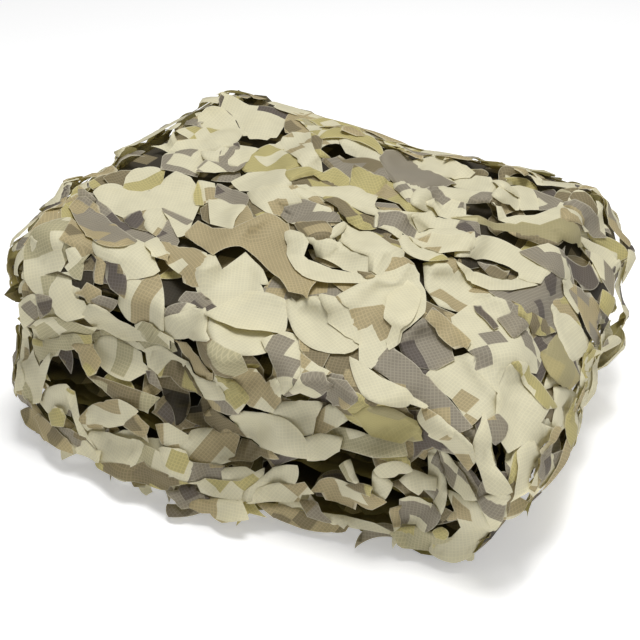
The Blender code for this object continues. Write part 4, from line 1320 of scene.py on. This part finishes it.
     (454, 452), (440, 444), (426, 438, .2))),
    ("cream", "tan", .10, 100, 4, 0, 2, ((413, 420), (422, 406), (440, 416), (456, 430), (450, 440),
     (432, 438))),
    ("grey", "cream", .20, 90, 5, 0, 3, ((400, 500), (410, 497, .05), (428, 502, .15), (440, 516, .25),
     (424, 532, .3), (402, 518))),
    ("cream", "olive", .15, 90, 4, 0, 2, ((400, 480), (412, 470), (432, 477), (431, 490), (420, 495),
     (410, 489))),
    ("olive", "olive", .00, 90, 4, 0, 2, ((380, 458), (392, 450, .25), (406, 457, .1), (410, 467),
     (394, 463))),
    ("cream", "olive", .35, 180, 5, 90, 2, ((373, 471, .2), (386, 464, .15), (402, 463, .1),
     (412, 471), (396, 478), (380, 477))),
    ("cream", "cream", .00, 90, 5, 0, 2, ((373, 472), (384, 478, .1), (392, 484, .15), (380, 503, .1),
     (373, 494))),
    ("sage", "cream", .35, 0, 3, 90, 3, ((317, 432), (336, 428, .1), (366, 435), (404, 441),
     (408, 456), (374, 457), (350, 450), (334, 446))),
    ("olive", "grey", .25, 80, 5, 0, 2, ((352, 418), (362, 409, .15), (382, 407, .15), (404, 416, .2),
     (418, 446), (400, 443), (370, 436))),
    ("cream", "tan", .40, 90, 4, 0, 2, ((313, 433), (318, 414, .1), (329, 406, .15), (348, 418),
     (336, 426), (324, 433))),
    ("grey", "tan", .30, 90, 4, 0, 2, ((328, 378), (346, 380), (360, 398), (346, 409), (330, 410))),
    ("cream", "cream", .00, 60, 6, 45, 3, ((350, 357), (362, 361), (382, 376), (408, 387), (425, 402),
     (412, 407, .1), (386, 404, .2), (360, 386, .1))),
    ("tan", "cream", .35, 0, 3, 90, 2, ((311, 492), (320, 481, .2), (334, 479, .05), (360, 490),
     (386, 502), (372, 509, .1), (340, 499))),
    ("tan", "shaded_tan", .25, 0, 4, 90, 2, ((257, 503), (286, 506), (312, 516), (338, 523), (347, 527, .3),
     (338, 531, .1), (300, 527), (274, 517))),
    ("grey", "shaded_tan", .30, 0, 3, 90, 1, ((299, 499, .15), (316, 500), (320, 512), (332, 524),
     (308, 516))),
    ("cream", "cream", .00, 0, 3, 90, 1, ((318, 513), (346, 517), (374, 524), (394, 534), (366, 529),
     (334, 525))),
    ("sage", "olive", .30, 0, 3, 90, 2, ((390, 534), (408, 529), (434, 533), (452, 541), (436, 548),
     (404, 546))),
    ("cream", "tan", .15, 60, 4, 0, 1, ((391, 509), (402, 506), (404, 530), (398, 534), (394, 520))),
    # the front's middle
    ("tan", "cream", .30, 90, 3, 0, 2, ((228, 380), (244, 370, .1), (256, 370), (264, 386), (277, 378),
     (284, 392), (272, 412), (250, 406), (236, 396))),
    ("cream", "grey", .15, 90, 4, 0, 3, ((283, 397), (294, 388), (302, 372, .15), (324, 372, .15),
     (329, 390), (316, 398), (300, 392))),
    ("cream", "cream", .00, 90, 4, 0, 3, ((269, 414), (282, 403), (304, 404), (322, 404), (315, 418),
     (312, 434), (298, 436), (286, 424))),
    ("cream", "cream", .00, 60, 5, 45, 2, ((230, 417), (244, 412), (264, 414, .1), (288, 424, .2),
     (309, 459), (286, 455), (262, 448), (240, 440))),
    ("cream", "tan", .15, 90, 4, 0, 2, ((302, 440), (320, 434), (342, 438), (338, 451), (324, 460, .1),
     (308, 460))),
    ("grey", "tan", .40, 60, 3, 0, 1, ((200, 401), (213, 390), (229, 398), (240, 414), (228, 414),
     (212, 408))),
    ("shaded_tan", "tan", .35, 60, 3, 0, 1, ((203, 408), (214, 410), (228, 421), (242, 443), (224, 436),
     (206, 420))),
    ("shaded_tan", "sage", .30, 90, 3, 0, 2, ((202, 346, .1), (210, 338, .1), (224, 345), (240, 354),
     (247, 370), (230, 378), (216, 374), (208, 360))),
    ("tan", "shaded_tan", .40, 60, 3, 0, 1, ((170, 340), (188, 348), (212, 378), (206, 384), (186, 362))),
    ("cream", "olive", .30, 90, 3, 0, 2, ((208, 386), (218, 377, .15), (230, 384), (247, 400),
     (238, 413), (224, 400))),
    ("sage", "cream", .40, 20, 4, 90, 3, ((99, 319), (118, 322), (142, 335), (172, 352), (158, 357),
     (120, 346), (102, 334))),
    ("cream", "sage", .25, 60, 5, 30, 3, ((92, 350), (98, 339, .15), (112, 338), (130, 348),
     (149, 369), (130, 380, .2), (100, 364, .1))),
    ("cream", "cream", .00, 30, 4, 90, 2, ((139, 356), (154, 349), (170, 359), (192, 374), (213, 386),
     (223, 401), (200, 397), (170, 378), (150, 364))),
    ("shaded_tan", "olive", .40, 30, 3, 90, 1, ((160, 370), (172, 370), (188, 385), (198, 401), (180, 396))),
    # the left side
    ("cream", "tan", .45, 90, 4, 0, 3, ((121, 276), (140, 278), (158, 274, .1), (163, 302), (163, 334),
     (146, 332, .2), (119, 304))),
    ("cream", "olive", .25, 100, 5, 0, 3, ((54, 271, .1), (65, 270), (68, 292), (84, 316),
     (66, 321, .15), (50, 304, .15), (47, 286))),
    ("tan", "shaded_tan", .30, 90, 3, 0, 2, ((73, 294), (84, 281), (99, 290), (100, 298), (84, 304))),
    ("grey", "shaded_tan", .35, 90, 3, 0, 2, ((86, 303), (98, 295), (117, 301, .2), (108, 312), (94, 308))),
    ("cream", "cream", .00, 60, 4, 45, 2, ((79, 312), (90, 304), (106, 311), (126, 328), (142, 341),
     (118, 341), (98, 330))),
    ("sage", "cream", .35, 30, 3, 90, 2, ((131, 335), (142, 326), (172, 340), (170, 352), (148, 345))),
    ("dark", "shaded_tan", .40, 90, 4, 0, 1, ((98, 263), (122, 272), (119, 294), (106, 284))),
    ("sage", "cream", .40, 60, 4, 0, 2, ((61, 264), (70, 250), (80, 253), (72, 276), (66, 272))),
    ("cream", "grey", .30, 110, 4, 0, 2, ((19, 304, .2), (36, 294), (38, 312), (33, 328), (22, 332))),
    ("dark", "grey", .40, 100, 3, 0, 1, ((35, 294), (48, 297), (50, 310), (40, 318))),
    ("sage", "cream", .30, 20, 3, 90, 2, ((29, 330), (38, 321, .1), (58, 318), (98, 332), (92, 342),
     (62, 336), (44, 340))),
    ("sage", "olive", .40, 20, 4, 90, 2, ((28, 338), (50, 341), (72, 335), (94, 343), (90, 352),
     (58, 352), (40, 360), (34, 372))),
    ("olive", "cream", .35, 120, 4, 0, 2, ((13, 326), (20, 317), (23, 340), (20, 372), (14, 360))),
    ("tan", "olive", .30, 90, 3, 0, 1, ((70, 345), (94, 348), (97, 362), (86, 374), (78, 360))),
    ("cream", "sage", .20, 100, 5, 0, 2, ((19, 358), (24, 350), (38, 370), (52, 350), (46, 372),
     (38, 402), (24, 404), (20, 382))),
    ("cream", "tan", .25, 100, 4, 0, 2, ((14, 361), (20, 372), (22, 396), (11, 394))),
    ("shaded_tan", "tan", .35, 45, 3, 90, 1, ((20, 410), (33, 403), (44, 418), (62, 441), (44, 440),
     (26, 424))),
    ("cream", "grey", .15, 60, 5, 0, 3, ((39, 400), (46, 390, .15), (66, 385, .15), (74, 398),
     (70, 414), (58, 408), (48, 412))),
    ("cream", "olive", .25, 80, 4, 0, 2, ((66, 388), (74, 392), (80, 424), (92, 446), (80, 436),
     (72, 412))),
    ("grey", "shaded_tan", .30, 30, 3, 0, 1, ((55, 427), (70, 430), (92, 446), (86, 452), (68, 441))),
    ("sage", "shaded_tan", .45, 20, 2, 90, 2, ((86, 374), (112, 382), (152, 396), (164, 402), (148, 412),
     (116, 400))),
    ("cream", "tan", .40, 0, 4, 90, 3, ((77, 417), (92, 406, .1), (118, 400, .1), (138, 412),
     (124, 424), (88, 431))),
    ("tan", "shaded_tan", .20, 30, 4, 90, 1, ((123, 425), (136, 415), (149, 428), (146, 440))),
    ("cream", "sage", .25, 20, 4, 90, 3, ((90, 436), (106, 434), (132, 442), (162, 452), (172, 477),
     (140, 470), (98, 462))),
    ("shaded_tan", "olive", .45, 20, 3, 90, 2, ((91, 464), (130, 462), (168, 475), (188, 488), (160, 489),
     (126, 482))),
    ("cream", "tan", .35, 30, 4, 60, 2, ((156, 425), (168, 424), (188, 436), (180, 450), (162, 444))),
    ("cream", "tan", .30, 20, 5, 60, 3, ((178, 451), (192, 431, .1), (214, 429), (234, 444),
     (230, 458), (214, 467), (194, 460))),
    ("cream", "olive", .25, 60, 4, 45, 2, ((158, 449), (178, 451), (193, 462), (187, 484), (168, 473))),
    ("tan", "grey", .45, 80, 4, 0, 2, ((191, 462), (208, 465), (224, 466), (220, 484), (188, 482))),
    ("cream", "tan", .10, 20, 4, 90, 2, ((222, 469), (246, 467), (256, 473), (240, 484), (222, 484))),
    ("cream", "olive", .20, 180, 5, 90, 2, ((189, 488), (212, 484), (240, 482), (264, 467), (262, 482),
     (240, 497), (214, 494))),
    ("dark", "grey", .40, 90, 3, 0, 1, ((167, 493), (190, 488), (206, 496), (198, 504), (182, 508))),
    ("cream", "tan", .25, 60, 4, 45, 2, ((188, 505), (206, 499), (240, 498), (248, 519), (222, 522),
     (204, 512))),
    ("shaded_tan", "tan", .45, 20, 3, 90, 1, ((227, 457), (238, 446), (270, 451), (278, 459), (252, 456))),
    ("cream", "cream", .00, 0, 5, 90, 4, ((243, 499), (256, 485), (272, 469, .15), (296, 467, .3),
     (292, 486), (268, 494))),
    ("cream", "tan", .20, 0, 4, 90, 2, ((246, 501), (264, 491), (304, 483), (313, 496), (288, 500),
     (262, 498))),
    # small leaves between the others
    ("cream", "olive", .10, 75, 3, 75, 2, ((398, 236), (412, 236), (428, 245), (448, 259),
     (430, 260, .1), (412, 255, .1), (402, 247, .1))),
    ("cream", "tan", .15, 80, 3, 80, 2, ((412, 236), (425, 232), (450, 236), (474, 232), (474, 250),
     (456, 250), (440, 252), (425, 246))),
    ("shaded_tan", "grey", .30, 20, 2, 20, 2, ((478, 262), (496, 266), (508, 271), (506, 277), (490, 274))),
    ("dark", "grey", .20, 60, 2, 60, 1, ((475, 304), (482, 303), (498, 326), (494, 328))),
    ("olive", "shaded_tan", .30, 90, 3, 90, 3, ((346, 485), (360, 484, .1), (372, 488), (370, 496),
     (355, 490))),
    ("cream", "sage", .20, 90, 3, 90, 2, ((340, 466, .1), (350, 460), (354, 474), (359, 484),
     (348, 480))),
    ("olive", "sage", .30, 90, 3, 90, 2, ((433, 532, .2), (442, 528, .2), (448, 534, .2), (445, 541),
     (436, 538))),
    ("grey", "dark", .40, 60, 3, 60, 2, ((146, 370), (152, 366), (168, 392), (150, 382))),
    ("tan", "shaded_tan", .30, 45, 2, 45, 1, ((34, 418), (40, 416), (56, 430), (70, 446), (72, 455),
     (58, 448), (46, 440))),
    ("cream", "olive", .35, 0, 3, 0, 2, ((49, 414), (54, 409), (64, 415), (63, 426), (52, 425))),
    ("cream", "tan", .20, 90, 3, 90, 2, ((75, 449), (82, 446), (98, 448), (98, 462), (86, 459),
     (76, 456))),
    ("tan", "shaded_tan", .30, 90, 2, 90, 1, ((90, 257), (96, 260), (98, 280), (90, 278))),
)]


def picture_leaves(cloth, view, leaves, draw):
    """Lays the leaves of the table in their order."""
    for leaf in leaves:
        outline = drawn_in(rounded(leaf.outline), -LEAF_OVERLAP)
        lie = Lie(LEAF_RISE, leaf.tip_way, leaf.tip * TIP_UP, leaf.curl_way, -leaf.curl * CURL_DOWN)
        ink = Print(leaf.main, leaf.other, leaf.share, draw.uniform(0, 90))
        lay(cloth, view, outline, lie, ink, draw)


def covered(outlines):
    """A map of the picture's cells that lie in one of the outlines."""
    found = np.zeros((MAP_SIZE, MAP_SIZE), bool)
    for outline in outlines:
        points = rounded(outline)
        c0, r0 = (points.min(0) // MAP_CELL).astype(int)
        c1, r1 = (points.max(0) // MAP_CELL).astype(int) + 1
        found[r0:r1, c0:c1] |= within(points, *cell_centres((c0, c1), (r0, r1)))
    return found


# ---------------------------------------------------------------- stage
FLOOR_HALF = 6.0
FLOOR_WHITE, FLOOR_ROUGHNESS, FLOOR_SHEEN = (0.93, 0.93, 0.93, 1.0), 0.9, 0.1
FLOOR_GLOW = 0.36            # its own light, which keeps it white in the picture
WHITE = (1.0, 1.0, 1.0, 1.0)
SKY = 0.30
Lamp = namedtuple("Lamp", "name place size watts")
LAMPS = (Lamp("key", (0.20, -0.32, 1.7), 0.5, 18.5), Lamp("fill", (1.3, -0.6, 1.1), 1.0, 2.5),
         Lamp("top", (0.3, 0.2, 1.8), 0.7, 6.0))
LAMPS_AIM = Vector((0, 0, 0.08))


def floor_and_light():
    mesh = bpy.data.meshes.new("floor")
    corners = [(x * FLOOR_HALF, y * FLOOR_HALF, 0) for x, y in ((-1, -1), (1, -1), (1, 1), (-1, 1))]
    mesh.from_pydata(corners, [], [(0, 1, 2, 3)])
    floor = new_object("floor", mesh)
    material = bpy.data.materials.new("floor_white")
    material.use_nodes = True
    shader = material.node_tree.nodes["Principled BSDF"]
    set_inputs(shader, {"Base Color": FLOOR_WHITE, "Roughness": FLOOR_ROUGHNESS, "Emission Color": WHITE,
                        "Emission Strength": FLOOR_GLOW, "Specular IOR Level": FLOOR_SHEEN})
    mesh.materials.append(material)
    world = bpy.data.worlds.new("studio")
    bpy.context.scene.world = world
    world.use_nodes = True
    set_inputs(world.node_tree.nodes["Background"], {"Color": WHITE, "Strength": SKY})
    for lamp in LAMPS:
        light = bpy.data.lights.new(lamp.name, "AREA")
        light.size = lamp.size
        light.energy = lamp.watts
        made = new_object(lamp.name, light)
        made.location = lamp.place
        made.rotation_euler = (LAMPS_AIM - Vector(lamp.place)).to_track_quat("-Z", "Y").to_euler()


def add_camera(view):
    data = bpy.data.cameras.new("camera")
    data.sensor_width = SENSOR
    data.lens = CAMERA_FOCAL / PICTURE * SENSOR
    camera = new_object("camera", data)
    camera.location = view.eye
    camera.rotation_euler = Vector(-view.back).to_track_quat("-Z", "Y").to_euler()
    bpy.context.scene.camera = camera


def front_leaves(view, material, draw):
    """The leaves that the camera sees: in the hollows, under the photograph's own ones, and those."""
    hollow = covered(HOLLOWS)
    view.wide = covered([PICTURE_EDGE]) | view.solid
    front = Cloth("netting_front")
    # Down in the hollows and under the table's leaves the leaves take darker prints: painted shade.
    scatter(front, view, HOLLOW_ROUND, draw, HOLLOW_SHADE_INKS, skip=~hollow, deep=True)
    view.wide &= ~hollow
    inner = widest(view.solid, RIM_CELLS, np.minimum)
    taken = covered([leaf.outline for leaf in LEAVES]) & inner | hollow
    scatter(front, view, UNDER_ROUND, draw, UNDER_SHADE_INKS, skip=taken)
    scatter(front, view, RIM_ROUND, draw, skip=inner | hollow, bare_only=True)
    scatter(front, view, OVER_ROUND, draw, UNDER_SHADE_INKS, skip=taken)
    picture_leaves(front, view, LEAVES, draw)
    return front.build(material)


def side_leaves(name, view, main_view, material, draw):
    """The leaves on another side, where the camera doesn't see it."""

    def unseen(point, normal):
        return normal @ main_view.back < LEAST_SEEN and normal @ view.back > LEAST_TURNED

    def hidden(point, normal):
        u, v, depth = main_view.pixels(point)
        return normal @ main_view.back < GRAZED or depth > sample(main_view.near, u, v) + HIDDEN_DEPTH

    side = Cloth("netting_" + name)
    for plan in SIDE_ROUNDS:
        scatter(side, view, plan, draw, keep=unseen, outer=main_view)
    scatter(side, view, PATCH_ROUND, draw, keep=hidden, outer=main_view, bare_only=True)
    return side.build(material)


def main():
    draw = random.Random(SEED)
    material = cloth_material()
    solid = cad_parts["netting"]
    main_view = View(CAMERA_AZIMUTH, CAMERA_ELEVATION, CAMERA_TARGET, CAMERA_DISTANCE, CAMERA_FOCAL)
    hull = search_tree([solid])
    core = Cloth("netting_plies")
    for turn, offset in enumerate(PLY_OFFSETS):
        core_ply(core, offset, turn, draw)
    plies = core.build(material)
    bare_cloth = search_tree([solid, plies])
    main_view.look(bare_cloth, hull, bare_cloth)
    main_view.settle()
    leaves = [front_leaves(main_view, material, draw)]
    for name, azimuth, elevation in OTHER_SIDES:
        view = View(azimuth, elevation, MIDDLE, scale=SIDE_SCALE)
        view.look(search_tree([solid, plies] + leaves), hull, bare_cloth)
        view.settle()
        leaves.append(side_leaves(name, view, main_view, material, draw))
    for piece in [plies] + leaves:
        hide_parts("netting")
        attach(piece, "root")
    floor_and_light()
    add_camera(main_view)
    bpy.context.scene.view_settings.view_transform = "Standard"


main()
